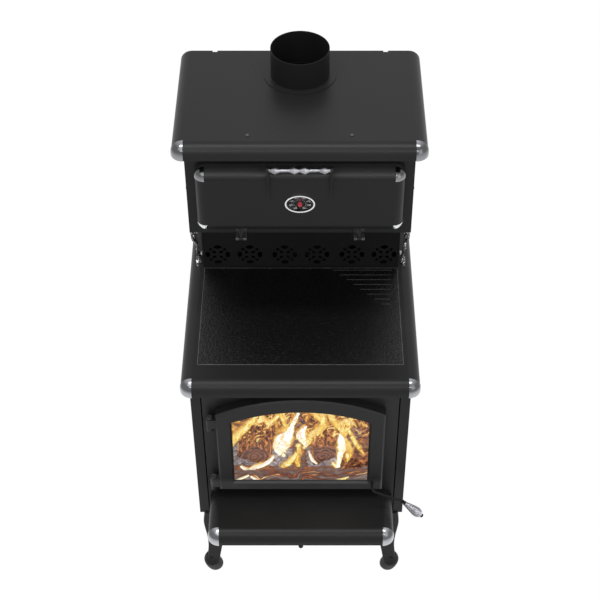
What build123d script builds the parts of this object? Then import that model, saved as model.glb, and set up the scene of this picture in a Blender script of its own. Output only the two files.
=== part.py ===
"""Wood cookstove with an upper oven, in millimetres.

Z is up from the floor, the front faces -Y and the origin is in the middle of the footprint.
Widths are given about the stove's own centre line, which lies a little left of the origin
because the latch handle reaches out past the right side.
"""

import os
from math import cos, radians, sin, sqrt

from build123d import *

# Overall sizes
cooktop_width = 650
cooktop_depth = 670
cooktop_height = 852
shelf_reach = 133  # hearth shelf front to cooktop front
leg_height = 255
cabinet_rise = 285.5  # cooktop to cabinet floor
cabinet_height = 332.6  # cabinet floor to cover top
flue_rise = 81.9  # cover top to the rim of the collar
edge_radius = 32  # rounded edges of cooktop, cover and shelf

# Sheet, plate and casting thicknesses
panel_sheet = 2
cooktop_sheet = 6
cover_sheet = 4
shelf_sheet = 4
cabinet_sheet = 2.5
oven_sheet = 2
plate_steel = 10
firebox_steel = 5
base_steel = 6
brick = 30

# Clearances
seat_gap = 0.2  # between pieces that are fitted by hand
running_gap = 0.06  # pin in a turning or sliding hole
side_play = 0.5  # beside a turning knuckle
overcut = 1  # how far a cut runs past the face it opens

# Cooktop
cooktop_skirt = 9
plate_width = 560
plate_inset = 84.6  # cooktop front to cook plate
plate_rear_margin = 202  # cook plate to cooktop rear
plate_joint = 1
plate_ledge = 12
groove_count = 8
groove_spacing = 20
groove_width = 3
groove_depth = 1.5
groove_rear_margin = 8.4
groove_left = 90
groove_left_step = 19.6
groove_right = 266
groove_right_step = 1.5

# Body
body_width = 604
body_setback = 37  # cooktop front to body front
panel_flange = 27
panel_drop = 3  # side panels end below the cooktop's inner bend
flange_joint = 3  # shadow gap between side panel and face plate
rear_flange = 20
rear_overhang = 10
rear_air_gap = 13
hearth_height = 360  # underside of the firebox floor
smoke_chamber_depth = 145
smoke_gap_height = 70
brick_tube_gap = 12  # wall bricks to the tubes above them
brick_joint = 1
tube_radius = 11
tube_drop = 118  # cooktop underside frame to tube axis
baffle_thickness = 15
baffle_setback = 88  # firebox front to baffle
log_width = 84
log_height = 46
upper_log_width = 100
upper_log_height = 70
log_taper = 0.9
log_front_gap = 60
log_side_gap = 27
log_middle_gap = 16
log_row_spacing = 120
upper_left_front = 138  # distances of the upper logs' ends from the centre line
upper_left_rear = 118
upper_right_front = 64
upper_right_rear = 40
upper_log_overhang = 36

# Fire door
door_half_width = 235
door_bottom = 400
door_shoulder_drop = 125.5  # cooktop to the ends of the door's arch
door_arch_rise = 61.5
door_thickness = 30
door_gap = 2  # door back to face plate
door_front_plate = 10
door_rim = 14
door_bevel = 5
opening_inset = 19  # door outline to firebox opening
glass_side_margin = 44
glass_sill = 36
glass_shoulder_margin = 33.5  # below the ends of the door's arch
glass_arch_rise = 44.5
glass_overlap = 6
glass_foot_overlap = 11
glass_thickness = 5
gasket_inset = 3
gasket_width = 8
gasket_depth = 4
hinge_offset = 17  # door side to hinge axis
hinge_setback = 12  # door front to hinge axis
hinge_radius = 10
hinge_pin_radius = 5
hinge_lug_height = 34
hinge_ear_height = 15
hinge_lug_margin = 12  # door's foot to lower lug
hinge_lug_drop = 54.5  # ends of the door's arch to the foot of the upper lug

# Latch
spindle_inset = 30
spindle_rise = 40
rod_radius = 4
rod_reach = 35  # door front to handle rod
rod_turn_offset = (57, -31)  # from the spindle
grip_start_offset = (85, -44)
grip_end_offset = (148.5, -116)
latch_boss_radius = 7.5
cam_length = 40
cam_width = 10
cam_thickness = 6
cam_gap = 1
wire_radius = 1.2
grip_turns = 21
grip_bulge = 7.8
grip_widest = 0.76  # share of the grip's length where it is widest
grip_tip_round = 0.93  # how far the swell closes again at the tip
grip_neck_gap = 0.25
wire_end_bend = 3
grip_neck_collar = 5.8
grip_tip_collar = 5.8
grip_collar_length = 4

# Hearth shelf and air control
shelf_width = 534
shelf_height = 365
shelf_skirt = 10
air_rod_drop = 53  # shelf top to rod axis
air_rod_radius = 4
air_knob_radius = 7
air_knob_setback = 6.5  # shelf front to knob centre
air_travel = 40
slide_width = 76
slide_depth = 40
slide_thickness = 4
intake_wall = 3
intake_height = 32

# Legs
leg_corner_x = 287
leg_corner_setback = 5  # leg corner ahead of the body front
rear_leg_inset = 34
leg_wall = 8
leg_top_plate = 6
leg_profile = (  # height share, outward swing, forward swing, size
    (1.0, 0, 0, 70),
    (0.85, 6, 6, 66),
    (0.58, -2.3, 11, 50),
    (0.36, -2, 17, 40),
    (0.24, 1, 23, 38),
    (0.12, 5.4, 26, 38),
)
foot_centre = (15, 9)  # inwards from, and ahead of, the leg's top corner
foot_rings = (  # height, radius, outward shift
    (0, 13, 0),
    (19, 26, -2.5),
    (25, 26, 0),
    (40, 23, 5.5),
    (62, 16, 4),
)
leg_bolt_radius = 5
leg_bolt_head = 8.5
leg_bolt_head_height = 6

# Back panel and cabinet
panel_setback = 475  # cooktop front to back panel
back_panel_width = 568
rosette_radius = 36
rosette_height = 47  # above the cooktop
rosette_spots = (46.5, 147.6, 240.4)
rosette_oval = (7, 11)
rosette_corner = 7.5
rosette_petal = (6.5, 4.4)
rosette_inner = 14
cabinet_width = 595
cabinet_setback = 303.5
cabinet_rear_inset = 8
cover_setback = 244
cover_skirt = 8
cover_seat = 0.5  # the cover rests on the flange, this far above the side walls
cover_notch = (13, 6)
cover_notch_x = 231
cover_screw_x = 132
cover_screw_setback = 54
screw_radius = 2.5
screw_head_radius = 4.5
screw_head_height = 1.8
cabinet_bolt_rise = 145.5
cabinet_bolt_setback = 14
cabinet_flange = 16

# Flue
flue_radius = 78
flue_wall = 1.8
flue_step = 1.7  # the duct's bore is smaller, so that a pipe stops on its end
flue_centre_inset = 106  # flue axis ahead of the cooktop rear
flue_joint_drop = 16  # collar joint below the cover top
flue_ring_radius = 96.5
flue_ring_thickness = 2

# Upper oven
oven_width = 486
oven_floor_rise = 54.5  # above the cabinet floor
oven_opening_height = 156
oven_depth = 172
rack_rail = 10
rack_rail_height = 70
rack_wire = 2.5
rack_bars = 15
oven_door_width = 543
oven_door_rise = 38.5
oven_door_height = 201
oven_door_thickness = 42
oven_door_gap = 2
oven_door_sheet = 2.5
oven_edge_radius = 26  # rounded edges of the oven door
oven_hinge_x = 158
oven_hinge_rise = 1.5
oven_hinge_reach = 26.5  # cabinet front to hinge axis
oven_knuckle_radius = 4.75
oven_knuckle_width = 10.6
oven_ear_width = 8.6
oven_pin_radius = 2
strap_thickness = 4

# Oven handle
handle_bar_length = 155
handle_bar_radius = 5
handle_bead_radius = 11.6
handle_bead_half = 13
handle_beads = (-62.4, -13, 13, 62.4)
handle_rise = 18.8  # door top to bar axis
handle_reach = 9.9  # door face to bar axis
handle_arm_width = 7
handle_arm_foot_drops = (78, 48)  # below the door top
handle_arm_thickness = 6
handle_eye_radius = 8.5
handle_spigot_radius = 4

# Thermometer
gauge_rise = 102.7  # above the door's foot
gauge_half = (39.2, 28.6)
gauge_rim = 3.8
gauge_depth = 5
gauge_dial_thickness = 1.5
gauge_glass_thickness = 1.2
gauge_glass_recess = 0.4
needle_length = 20
needle_hub = 3
needle_width = 2.2
needle_thickness = 0.7
needle_gap = 0.5
needle_shaft = 1

# Nickel trim
cap_wall = 1.2
bracket_thickness = 5
bracket_inset = 1.5
bracket_band = 8
bracket_foot = 34
bracket_foot_height = 5
bracket_reach = 46  # behind the back panel's face

# ---------------------------------------------------------------- places worked out from the sizes
door_shoulder = cooktop_height - door_shoulder_drop
door_crown = door_shoulder + door_arch_rise
glass_half_width = door_half_width - glass_side_margin
glass_bottom = door_bottom + glass_sill
glass_shoulder = door_shoulder - glass_shoulder_margin
glass_crown = glass_shoulder + glass_arch_rise
hinge_x = -door_half_width - hinge_offset
hinge_lug_bottoms = [door_bottom + hinge_lug_margin, door_shoulder - hinge_lug_drop]
spindle = (door_half_width - spindle_inset, door_bottom + spindle_rise)
rod_turn, grip_start, grip_end = [
    (spindle[0] + offset[0], spindle[1] + offset[1])
    for offset in (rod_turn_offset, grip_start_offset, grip_end_offset)
]
grip_overhang = grip_end[0] + grip_tip_collar / 2 - cooktop_width / 2
centre_x = -grip_overhang / 2
rear_y = (cooktop_depth + shelf_reach) / 2
cooktop_front_y = rear_y - cooktop_depth
shelf_front_y = -rear_y
half_top = cooktop_width / 2
half_body = body_width / 2
body_front_y = cooktop_front_y + body_setback
face_y = body_front_y + panel_sheet  # front of the face plate
firebox_front_y = face_y + plate_steel
panel_rear_y = rear_y - rear_overhang
firebox_rear_y = panel_rear_y - rear_air_gap
half_firebox = half_body - panel_flange - flange_joint
cabinet_floor_height = cooktop_height + cabinet_rise
cover_height = cabinet_floor_height + cabinet_height
flue_height = cover_height + flue_rise
frame_top = cooktop_height - cooktop_sheet  # top of the frame under the cooktop sheet
frame_bottom = frame_top - cooktop_sheet
base_top = leg_height + base_steel
flue_y = rear_y - flue_centre_inset
flue_bore = flue_radius - flue_wall
collar_bottom = cover_height - flue_joint_drop

door_arch = (door_half_width, door_bottom, door_shoulder, door_crown)
glass_arch = (glass_half_width, glass_bottom, glass_shoulder, glass_crown)
door_back_y = face_y - door_gap
door_front_y = door_back_y - door_thickness
hinge_y = door_front_y + hinge_setback
pane_front_y = door_front_y + door_front_plate
pane_back_y = pane_front_y + glass_thickness

cabinet_front_y = cooktop_front_y + cabinet_setback
cabinet_rear_y = rear_y - cabinet_rear_inset
half_cabinet = cabinet_width / 2
cover_underside = cover_height - cover_sheet
cabinet_top = cover_underside - cover_seat
back_panel_y = cooktop_front_y + panel_setback
oven_door_back_y = cabinet_front_y - oven_door_gap
oven_door_front_y = oven_door_back_y - oven_door_thickness
oven_hinge_y = cabinet_front_y - oven_hinge_reach
oven_hinge_height = cabinet_floor_height + oven_hinge_rise
oven_floor_height = cabinet_floor_height + oven_floor_rise
oven_door_bottom = cabinet_floor_height + oven_door_rise
oven_door_top = oven_door_bottom + oven_door_height
cabinet_bolt_height = cabinet_floor_height + cabinet_bolt_rise
handle_height = oven_door_top + handle_rise
handle_arm_foot = [oven_door_top - drop for drop in handle_arm_foot_drops]
gauge_height = oven_door_bottom + gauge_rise
air_rod_height = shelf_height - air_rod_drop


# ---------------------------------------------------------------- planes and shared shapes
def level(z):
    """Horizontal plane at a height, centred on the stove."""
    return Plane(origin=(centre_x, 0, z))


def facing(y):
    """Upright plane seen from the front: x to the right, y up, normal towards the viewer."""
    return Plane(origin=(centre_x, y, 0), x_dir=(1, 0, 0), z_dir=(0, -1, 0))


def beside(x):
    """Upright plane seen from the right: x towards the rear, y up, normal to the right."""
    return Plane(origin=(centre_x + x, 0, 0), x_dir=(0, 1, 0), z_dir=(1, 0, 0))


def both_ways(half):
    return (-half, half)


def span(x, y, mode=Mode.ADD):
    """Rectangle between two x and two y values, in the current sketch."""
    with Locations(((x[0] + x[1]) / 2, (y[0] + y[1]) / 2)):
        Rectangle(x[1] - x[0], y[1] - y[0], mode=mode)


def slab(x, y, z, mode=Mode.ADD):
    """Block between two x, two y and two z values, in the current part."""
    with BuildSketch(level(z[0])) as outline:
        span(x, y)
    extrude(outline.sketch, amount=z[1] - z[0], mode=mode)


def rod_along(plane, spot, radius, length, mode=Mode.ADD):
    """Round bar or hole that starts on a plane and follows its normal."""
    with BuildSketch(plane) as outline:
        with Locations(spot):
            Circle(radius)
    extrude(outline.sketch, amount=length, mode=mode)


def tray_block(x, y, z, radius):
    """Block with its top, front and side edges turned to one radius, square at the rear."""
    with BuildPart() as block:
        slab(x, y, z)
        rear = block.faces().sort_by(Axis.Y)[-1]
        bottom = block.faces().sort_by(Axis.Z)[0]
        fillet(block.edges() - rear.edges() - bottom.edges(), radius)
    return block.part


def pan_block(x, y, z, radius):
    """Block with every edge turned to one radius except those of its rear face."""
    with BuildPart() as block:
        slab(x, y, z)
        rear = block.faces().sort_by(Axis.Y)[-1]
        fillet(block.edges() - rear.edges(), radius)
    return block.part


def corner_cap(centre, start, pole, radius, skirt=0):
    """Eighth of a ball shell over a rounded corner, with a straight skirt below its equator."""
    centre, start, pole = Vector(*centre), Vector(*start), Vector(*pole)
    cap_inner = radius + seat_gap
    cap_outer = cap_inner + cap_wall
    with BuildPart() as cap:
        with BuildSketch(Plane(origin=centre, x_dir=start, z_dir=start.cross(pole))):
            with BuildLine():
                CenterArc((0, 0), cap_outer, 0, 90)
                Line((0, cap_outer), (0, cap_inner))
                CenterArc((0, 0), cap_inner, 0, 90)
                Polyline(
                    (cap_inner, 0), (cap_inner, -skirt), (cap_outer, -skirt), (cap_outer, 0)
                ) if skirt else Line((cap_inner, 0), (cap_outer, 0))
            make_face()
        revolve(axis=Axis(centre, pole), revolution_arc=90)
    return cap.part


def tray_caps(half_width, front_y, top, skirt):
    """Caps of the two front corners of a tray."""
    ball_y, ball_z = front_y + edge_radius, top - edge_radius
    left = (centre_x - half_width + edge_radius, ball_y, ball_z)
    right = (centre_x + half_width - edge_radius, ball_y, ball_z)
    up = (0, 0, 1)
    return (
        corner_cap(left, (-1, 0, 0), up, edge_radius, skirt),
        corner_cap(right, (0, -1, 0), up, edge_radius, skirt),
    )


def inset_arch(arch, inset):
    """The same arch moved inwards all round."""
    half_width, bottom, shoulder, crown = arch
    rise = crown - shoulder
    radius = (half_width**2 + rise**2) / (2 * rise)
    new_shoulder = crown - radius + sqrt((radius - inset) ** 2 - (half_width - inset) ** 2)
    return half_width - inset, bottom + inset, new_shoulder, crown - inset


def arched(arch, mode=Mode.ADD):
    """Face with a straight foot and sides under one arc, in the current sketch."""
    half_width, bottom, shoulder, crown = arch
    with BuildLine() as outline:
        Polyline(
            (-half_width, shoulder),
            (-half_width, bottom),
            (half_width, bottom),
            (half_width, shoulder),
        )
        ThreePointArc((half_width, shoulder), (0, crown), (-half_width, shoulder))
    make_face(outline.edges(), mode=mode)


# ---------------------------------------------------------------- cooktop
lip_bottom = cooktop_height - edge_radius - cooktop_skirt
cooktop_block = tray_block(
    both_ways(half_top), (cooktop_front_y, rear_y), (lip_bottom, cooktop_height), edge_radius
)
cooktop_hollow = tray_block(
    both_ways(half_top - cooktop_sheet),
    (cooktop_front_y + cooktop_sheet, rear_y + edge_radius),
    (lip_bottom - overcut, frame_top),
    edge_radius - cooktop_sheet,
)
plate_x = both_ways(plate_width / 2)
plate_y = (cooktop_front_y + plate_inset, rear_y - plate_rear_margin)
opening_x = both_ways(plate_width / 2 + plate_joint)
opening_y = (plate_y[0] - plate_joint, plate_y[1] + plate_joint)

with BuildPart() as cooktop_surround:
    add(cooktop_block)
    add(cooktop_hollow, mode=Mode.SUBTRACT)
    slab(
        both_ways(plate_width / 2 + plate_ledge),
        (firebox_front_y, firebox_rear_y),
        (frame_bottom, frame_top),
    )
    slab(opening_x, opening_y, (frame_top, cooktop_height + overcut), mode=Mode.SUBTRACT)
    slab(
        both_ways(plate_width / 2 - plate_ledge),
        (plate_y[0] + plate_ledge, plate_y[1] - plate_ledge),
        (frame_bottom - overcut, cooktop_height),
        mode=Mode.SUBTRACT,
    )
    rod_along(
        level(frame_bottom - overcut),
        (0, flue_y),
        flue_bore - flue_step,
        cooktop_height,
        mode=Mode.SUBTRACT,
    )
    rod_along(
        level(frame_top), (0, flue_y), flue_radius + seat_gap, cooktop_sheet, mode=Mode.SUBTRACT
    )

cooktop_cap_pair = tray_caps(half_top, cooktop_front_y, cooktop_height, cooktop_skirt)
with BuildPart() as cooktop_corner_caps:
    add(cooktop_cap_pair)

with BuildPart() as cook_plate:
    slab(plate_x, plate_y, (frame_top, cooktop_height))
    chamfer(cook_plate.faces().sort_by(Axis.Z)[-1].edges(), plate_joint)
    with BuildSketch(level(cooktop_height)):
        for row in range(groove_count):
            left = groove_left + row * groove_left_step
            right = groove_right - row * groove_right_step
            groove_y = plate_y[1] - groove_rear_margin - row * groove_spacing
            with Locations(((left + right) / 2, groove_y)):
                SlotOverall(right - left, groove_width)
    extrude(amount=-groove_depth, mode=Mode.SUBTRACT)

# ---------------------------------------------------------------- body
opening_arch = inset_arch(door_arch, opening_inset)
panel_z = (leg_height, frame_top - panel_drop)


def side_panel(side):
    """Folded sheet with a front and a rear flange."""
    outer, inner = side * half_body, side * (half_body - panel_sheet)
    front_edge = side * (half_body - panel_flange)
    rear_edge = side * (half_body - rear_flange)
    with BuildPart() as panel:
        with BuildSketch(level(panel_z[0])):
            span(sorted((inner, outer)), (body_front_y, panel_rear_y))
            span(sorted((front_edge, outer)), (body_front_y, body_front_y + panel_sheet))
            span(sorted((rear_edge, outer)), (panel_rear_y - panel_sheet, panel_rear_y))
        extrude(amount=panel_z[1] - panel_z[0])
    return panel.part


side_panel_shapes = {-1: side_panel(-1), 1: side_panel(1)}
with BuildPart() as side_panel_left:
    add(side_panel_shapes[-1])
with BuildPart() as side_panel_right:
    add(side_panel_shapes[1])

inside_x = both_ways(half_body - panel_sheet)
shield_y = (panel_rear_y - 2 * panel_sheet, panel_rear_y - panel_sheet)
with BuildPart() as rear_shield:
    slab(inside_x, shield_y, panel_z)

bolt_inset = leg_profile[0][3] / 2
leg_corners = {
    "front": body_front_y - leg_corner_setback,
    "rear": panel_rear_y - rear_leg_inset,
}
leg_bolt_spots = [
    (side * (leg_corner_x - bolt_inset), corner_y - end * bolt_inset)
    for side in (-1, 1)
    for end, corner_y in ((-1, leg_corners["front"]), (1, leg_corners["rear"]))
]
with BuildPart() as base_plate:
    slab(inside_x, (face_y, shield_y[0]), (leg_height, base_top))
    with BuildSketch(level(leg_height)):
        with Locations(leg_bolt_spots):
            Circle(leg_bolt_radius + seat_gap)
    extrude(amount=base_steel, mode=Mode.SUBTRACT)

with BuildPart() as face_plate:
    with BuildSketch(facing(face_y)):
        span(both_ways(half_firebox), (base_top, frame_bottom))
        arched(opening_arch, mode=Mode.SUBTRACT)
        with Locations((0, air_rod_height)):
            Circle(air_rod_radius + running_gap, mode=Mode.SUBTRACT)
    extrude(amount=-plate_steel)

chamber_x = both_ways(half_firebox - firebox_steel)
chamber_front_y = firebox_front_y + firebox_steel
chamber_rear_y = firebox_rear_y - firebox_steel
partition_y = chamber_rear_y - smoke_chamber_depth
hearth_top = hearth_height + firebox_steel
with BuildPart() as firebox:
    slab(
        both_ways(half_firebox), (firebox_front_y, firebox_rear_y), (base_top, frame_bottom)
    )
    slab(
        chamber_x,
        (chamber_front_y, partition_y - firebox_steel),
        (hearth_top, frame_bottom),
        mode=Mode.SUBTRACT,
    )
    slab(
        chamber_x, (partition_y, chamber_rear_y), (hearth_top, frame_bottom), mode=Mode.SUBTRACT
    )
    slab(
        chamber_x,
        (partition_y - firebox_steel, partition_y),
        (frame_bottom - smoke_gap_height, frame_bottom),
        mode=Mode.SUBTRACT,
    )
    slab(
        chamber_x, (chamber_front_y, chamber_rear_y), (base_top, hearth_height), mode=Mode.SUBTRACT
    )
    with BuildSketch(facing(firebox_front_y)):
        arched(opening_arch)
        with Locations((0, air_rod_height)):
            Circle(air_rod_radius + side_play)
    extrude(amount=-firebox_steel, mode=Mode.SUBTRACT)


def brick_row(x, y, z, count, along):
    """Bricks of one size side by side, with open joints between them."""
    limits = {"x": x, "y": y, "z": z}
    low, high = limits[along]
    step = (high - low + brick_joint) / count
    for place in range(count):
        start = low + place * step
        slab(**{**limits, along: (start, start + step - brick_joint)})


floor_top = hearth_top + brick
tube_z = frame_bottom - tube_drop
brick_wall_top = tube_z - tube_radius - brick_tube_gap
brick_rear_y = partition_y - firebox_steel
with BuildPart() as floor_bricks:
    for row in range(3):
        row_depth = (brick_rear_y - chamber_front_y) / 3
        row_front = chamber_front_y + row * row_depth
        brick_row(
            chamber_x, (row_front, row_front + row_depth - brick_joint), (hearth_top, floor_top), 4, "x"
        )
with BuildPart() as side_bricks:
    for side in (-1, 1):
        wall_x = sorted((side * chamber_x[1], side * (chamber_x[1] - brick)))
        wall_y = (chamber_front_y + brick, brick_rear_y)
        brick_row(wall_x, wall_y, (floor_top, brick_wall_top), 3, "y")
with BuildPart() as rear_bricks:
    brick_row(
        both_ways(chamber_x[1] - brick - brick_joint),
        (brick_rear_y - brick, brick_rear_y),
        (floor_top, brick_wall_top),
        4,
        "x",
    )

baffle_front_y = firebox_front_y + baffle_setback
tube_rows = [
    baffle_front_y + (brick_rear_y - baffle_front_y) * share for share in (0.12, 0.5, 0.88)
]
with BuildPart() as air_tubes:
    for row_y in tube_rows:
        rod_along(beside(chamber_x[0]), (row_y, tube_z), tube_radius, 2 * chamber_x[1])
with BuildPart() as baffle:
    slab(
        both_ways(chamber_x[1] - seat_gap),
        (baffle_front_y, brick_rear_y),
        (tube_z + tube_radius, tube_z + tube_radius + baffle_thickness),
    )

# Firewood: split logs lying on the bricks, and two more across them.
def split_log(start, end, foot_z, width, height):
    """One split log between two points of the hearth: flat foot, bark arc and one split side."""
    run = Vector(end[0] - start[0], end[1] - start[1], 0)
    half = width / 2
    with BuildPart() as wood:
        for spot, scale in ((start, 1), (end, log_taper)):
            end_plane = Plane(
                origin=(centre_x + spot[0], spot[1], foot_z),
                x_dir=Vector(0, 0, 1).cross(run),
                z_dir=run,
            )
            with BuildSketch(end_plane):
                with BuildLine():
                    foot_right, foot_left = (0.78 * half * scale, 0), (-0.78 * half * scale, 0)
                    split_top = (-0.3 * half * scale, 0.96 * height)
                    split_foot = (-half * scale, 0.4 * height)
                    Line(foot_left, foot_right)
                    ThreePointArc(foot_right, (0.93 * half * scale, 0.62 * height), split_top)
                    Polyline(split_top, split_foot, foot_left)
                make_face()
        loft(ruled=True)
    return wood.part


log_front_y = chamber_front_y + log_front_gap
log_back_y = log_front_y + log_row_spacing
log_reach = chamber_x[1] - brick - log_side_gap
upper_foot = floor_top + log_height + seat_gap
upper_front_y = log_front_y - upper_log_overhang
upper_back_y = log_back_y + upper_log_overhang
log_runs = [
    ((-log_reach, log_front_y), (-log_middle_gap, log_front_y)),
    ((log_middle_gap, log_front_y), (log_reach, log_front_y)),
    ((-log_reach, log_back_y), (log_reach, log_back_y)),
]
upper_log_runs = [
    ((-upper_left_front, upper_front_y), (-upper_left_rear, upper_back_y)),
    ((upper_right_front, upper_front_y), (upper_right_rear, upper_back_y)),
]
logs = [split_log(*run, floor_top, log_width, log_height) for run in log_runs]
logs += [
    split_log(*run, upper_foot, upper_log_width, upper_log_height) for run in upper_log_runs
]
with BuildPart() as firewood:
    add(logs)

# ---------------------------------------------------------------- fire door
with BuildPart() as door_frame:
    with BuildSketch(facing(door_back_y)):
        arched(door_arch)
    extrude(amount=door_thickness)
    chamfer(door_frame.faces().sort_by(Axis.Y)[0].edges(), door_bevel)
    with BuildSketch(facing(door_back_y)):
        arched(inset_arch(door_arch, door_rim))
    extrude(amount=door_thickness - door_front_plate, mode=Mode.SUBTRACT)
    rod_along(facing(door_back_y), spindle, latch_boss_radius, door_thickness - door_front_plate)
    with BuildSketch(facing(pane_front_y)):
        arched(glass_arch)
    extrude(amount=door_front_plate, mode=Mode.SUBTRACT)
    window_edges = door_frame.faces().sort_by(Axis.Y)[0].inner_wires()[0].edges()
    chamfer(window_edges, door_bevel)
    with BuildSketch(facing(door_back_y)):
        arched(inset_arch(door_arch, gasket_inset))
        arched(inset_arch(door_arch, gasket_inset + gasket_width), mode=Mode.SUBTRACT)
    extrude(amount=gasket_depth, mode=Mode.SUBTRACT)
    for lug_bottom in hinge_lug_bottoms:
        with BuildSketch(level(lug_bottom)):
            with Locations((hinge_x, hinge_y)):
                Circle(hinge_radius)
            span(
                (hinge_x, -door_half_width + door_bevel),
                (hinge_y - hinge_radius, hinge_y + hinge_radius),
            )
        extrude(amount=hinge_lug_height)
    for lug_bottom in hinge_lug_bottoms:
        rod_along(
            level(lug_bottom),
            (hinge_x, hinge_y),
            hinge_pin_radius + running_gap,
            hinge_lug_height,
            mode=Mode.SUBTRACT,
        )
    rod_along(
        facing(door_back_y), spindle, rod_radius + running_gap, door_thickness, mode=Mode.SUBTRACT
    )

pane_half, _, pane_shoulder, pane_crown = inset_arch(glass_arch, -glass_overlap)
pane_bottom = glass_bottom - glass_foot_overlap
pane_arch = (pane_half, pane_bottom, pane_shoulder, pane_crown)
with BuildPart() as door_glass:
    with BuildSketch(facing(pane_back_y)):
        arched(pane_arch)
    extrude(amount=glass_thickness)

clip_size = (14, 20)
clip_bite = 4
clip_sheet = 3
clip_foot = clip_size[0] - clip_bite
clip_spots = (
    (pane_half, (pane_bottom + pane_shoulder) / 2, 0),
    (0, pane_crown, 90),
    (-pane_half, (pane_bottom + pane_shoulder) / 2, 180),
    (-pane_half / 2, pane_bottom, 270),
    (pane_half / 2, pane_bottom, 270),
)
with BuildPart() as glass_retainers:
    for x, z, angle in clip_spots:
        with BuildSketch(facing(pane_back_y)) as arm:
            with Locations(Location((x, z, 0), (0, 0, angle))):
                with Locations((clip_foot - clip_size[0] / 2, 0)):
                    Rectangle(*clip_size)
        extrude(amount=-clip_sheet)
        with BuildSketch(facing(pane_front_y)) as foot:
            with Locations(Location((x, z, 0), (0, 0, angle))):
                with Locations(((clip_foot + seat_gap) / 2, 0)):
                    Rectangle(clip_foot - seat_gap, clip_size[1])
        extrude(amount=-glass_thickness)
    with BuildSketch(facing(pane_front_y)):
        for x, z, angle in clip_spots:
            with Locations(Location((x, z, 0), (0, 0, angle))):
                with Locations((clip_foot / 2, 0)):
                    Circle(screw_radius + seat_gap)
    extrude(amount=-glass_thickness - clip_sheet, mode=Mode.SUBTRACT)
with BuildPart() as retainer_screws:
    for x, z, angle in clip_spots:
        with BuildSketch(facing(pane_back_y + clip_sheet)):
            with Locations(Location((x, z, 0), (0, 0, angle))):
                with Locations((clip_foot / 2, 0)):
                    Circle(screw_radius)
        extrude(amount=clip_sheet + glass_thickness)
        with BuildSketch(facing(pane_back_y + clip_sheet)):
            with Locations(Location((x, z, 0), (0, 0, angle))):
                with Locations((clip_foot / 2, 0)):
                    Circle(screw_head_radius)
        extrude(amount=-screw_head_height)

with BuildPart() as door_gasket:
    with BuildSketch(facing(face_y)):
        arched(inset_arch(door_arch, gasket_inset))
        arched(inset_arch(door_arch, gasket_inset + gasket_width), mode=Mode.SUBTRACT)
    extrude(amount=door_gap + gasket_depth)

with BuildPart() as door_hinge_brackets:
    for lug_bottom in hinge_lug_bottoms:
        ear_bottom = lug_bottom - side_play - hinge_ear_height
        with BuildSketch(level(ear_bottom)):
            with Locations((hinge_x, hinge_y)):
                Circle(hinge_radius)
            span((hinge_x - hinge_radius, hinge_x + hinge_radius), (hinge_y, face_y))
        extrude(amount=hinge_ear_height)
        with BuildSketch(level(ear_bottom)):
            with Locations((hinge_x, hinge_y)):
                Circle(hinge_pin_radius + running_gap)
        extrude(amount=hinge_ear_height, mode=Mode.SUBTRACT)
with BuildPart() as door_hinge_pins:
    for lug_bottom in hinge_lug_bottoms:
        pin_bottom = lug_bottom - side_play - hinge_ear_height
        pin_top = lug_bottom + hinge_lug_height + side_play
        rod_along(level(pin_bottom), (hinge_x, hinge_y), hinge_pin_radius, pin_top - pin_bottom)
        rod_along(level(pin_top), (hinge_x, hinge_y), hinge_radius * 0.8, hinge_pin_radius)

# ---------------------------------------------------------------- latch
rod_y = door_front_y - rod_reach
cam_y = chamber_front_y + cam_gap
rod_points = (
    (spindle[0], cam_y + cam_thickness, spindle[1]),
    (spindle[0], rod_y, spindle[1]),
    (rod_turn[0], rod_y, rod_turn[1]),
    (grip_start[0], rod_y, grip_start[1]),
    (grip_end[0], rod_y, grip_end[1]),
)
rod_bends = (12, 40, 10)
grip_axis = Vector(grip_end[0] - grip_start[0], 0, grip_end[1] - grip_start[1])
grip_length = grip_axis.length
grip_axis = grip_axis.normalized()
grip_origin = Vector(centre_x + grip_start[0], rod_y, grip_start[1])
coil_start = rod_bends[2] / 2 + grip_collar_length
coil_end = grip_length - grip_collar_length
with BuildPart() as latch_rod:
    with BuildLine() as rod_line:
        FilletPolyline(*[(centre_x + x, y, z) for x, y, z in rod_points], radius=rod_bends)
    with BuildSketch(rod_line.line ^ 0):
        Circle(rod_radius)
    sweep(path=rod_line.line)
    for collar_start, collar_radius in (
        (coil_start - grip_collar_length, grip_neck_collar),
        (coil_end, grip_tip_collar),
    ):
        with BuildSketch(Plane(origin=grip_origin + grip_axis * collar_start, z_dir=grip_axis)):
            Circle(collar_radius)
        extrude(amount=grip_collar_length)

with BuildPart() as latch_cam:
    with BuildSketch(facing(cam_y + cam_thickness)):
        with Locations(spindle):
            Circle(latch_boss_radius)
        span(
            (spindle[0] - cam_width / 2, spindle[0] + cam_width / 2),
            (spindle[1], spindle[1] + cam_length),
        )
        with Locations(spindle):
            Circle(rod_radius + running_gap, mode=Mode.SUBTRACT)
    extrude(amount=cam_thickness)


# The grip is one wire, wound round the rod in a teardrop and turned into a collar at each end.
def swell_at(share):
    """Swell of the grip, from 0 at the neck to 1 where it is widest, then round to the tip."""
    if share < grip_widest:
        rise = share / grip_widest
        return (rise + (1 - cos(radians(180 * rise))) / 2) / 2
    return sqrt(1 - (grip_tip_round * (share - grip_widest) / (1 - grip_widest)) ** 2)


def coil_point(turn):
    """Point and direction of the wire's centre after a number of turns."""
    share = turn / grip_turns
    radius = rod_radius + grip_neck_gap + wire_radius + grip_bulge * swell_at(share)
    angle = radians(360 * turn)
    across, up = Vector(0, 1, 0), grip_axis.cross(Vector(0, 1, 0))
    first = coil_start + 2 * wire_end_bend
    along = first + (coil_end - 2 * wire_end_bend - first) * share
    return (
        grip_origin + grip_axis * along + (across * cos(angle) + up * sin(angle)) * radius
    )


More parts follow.
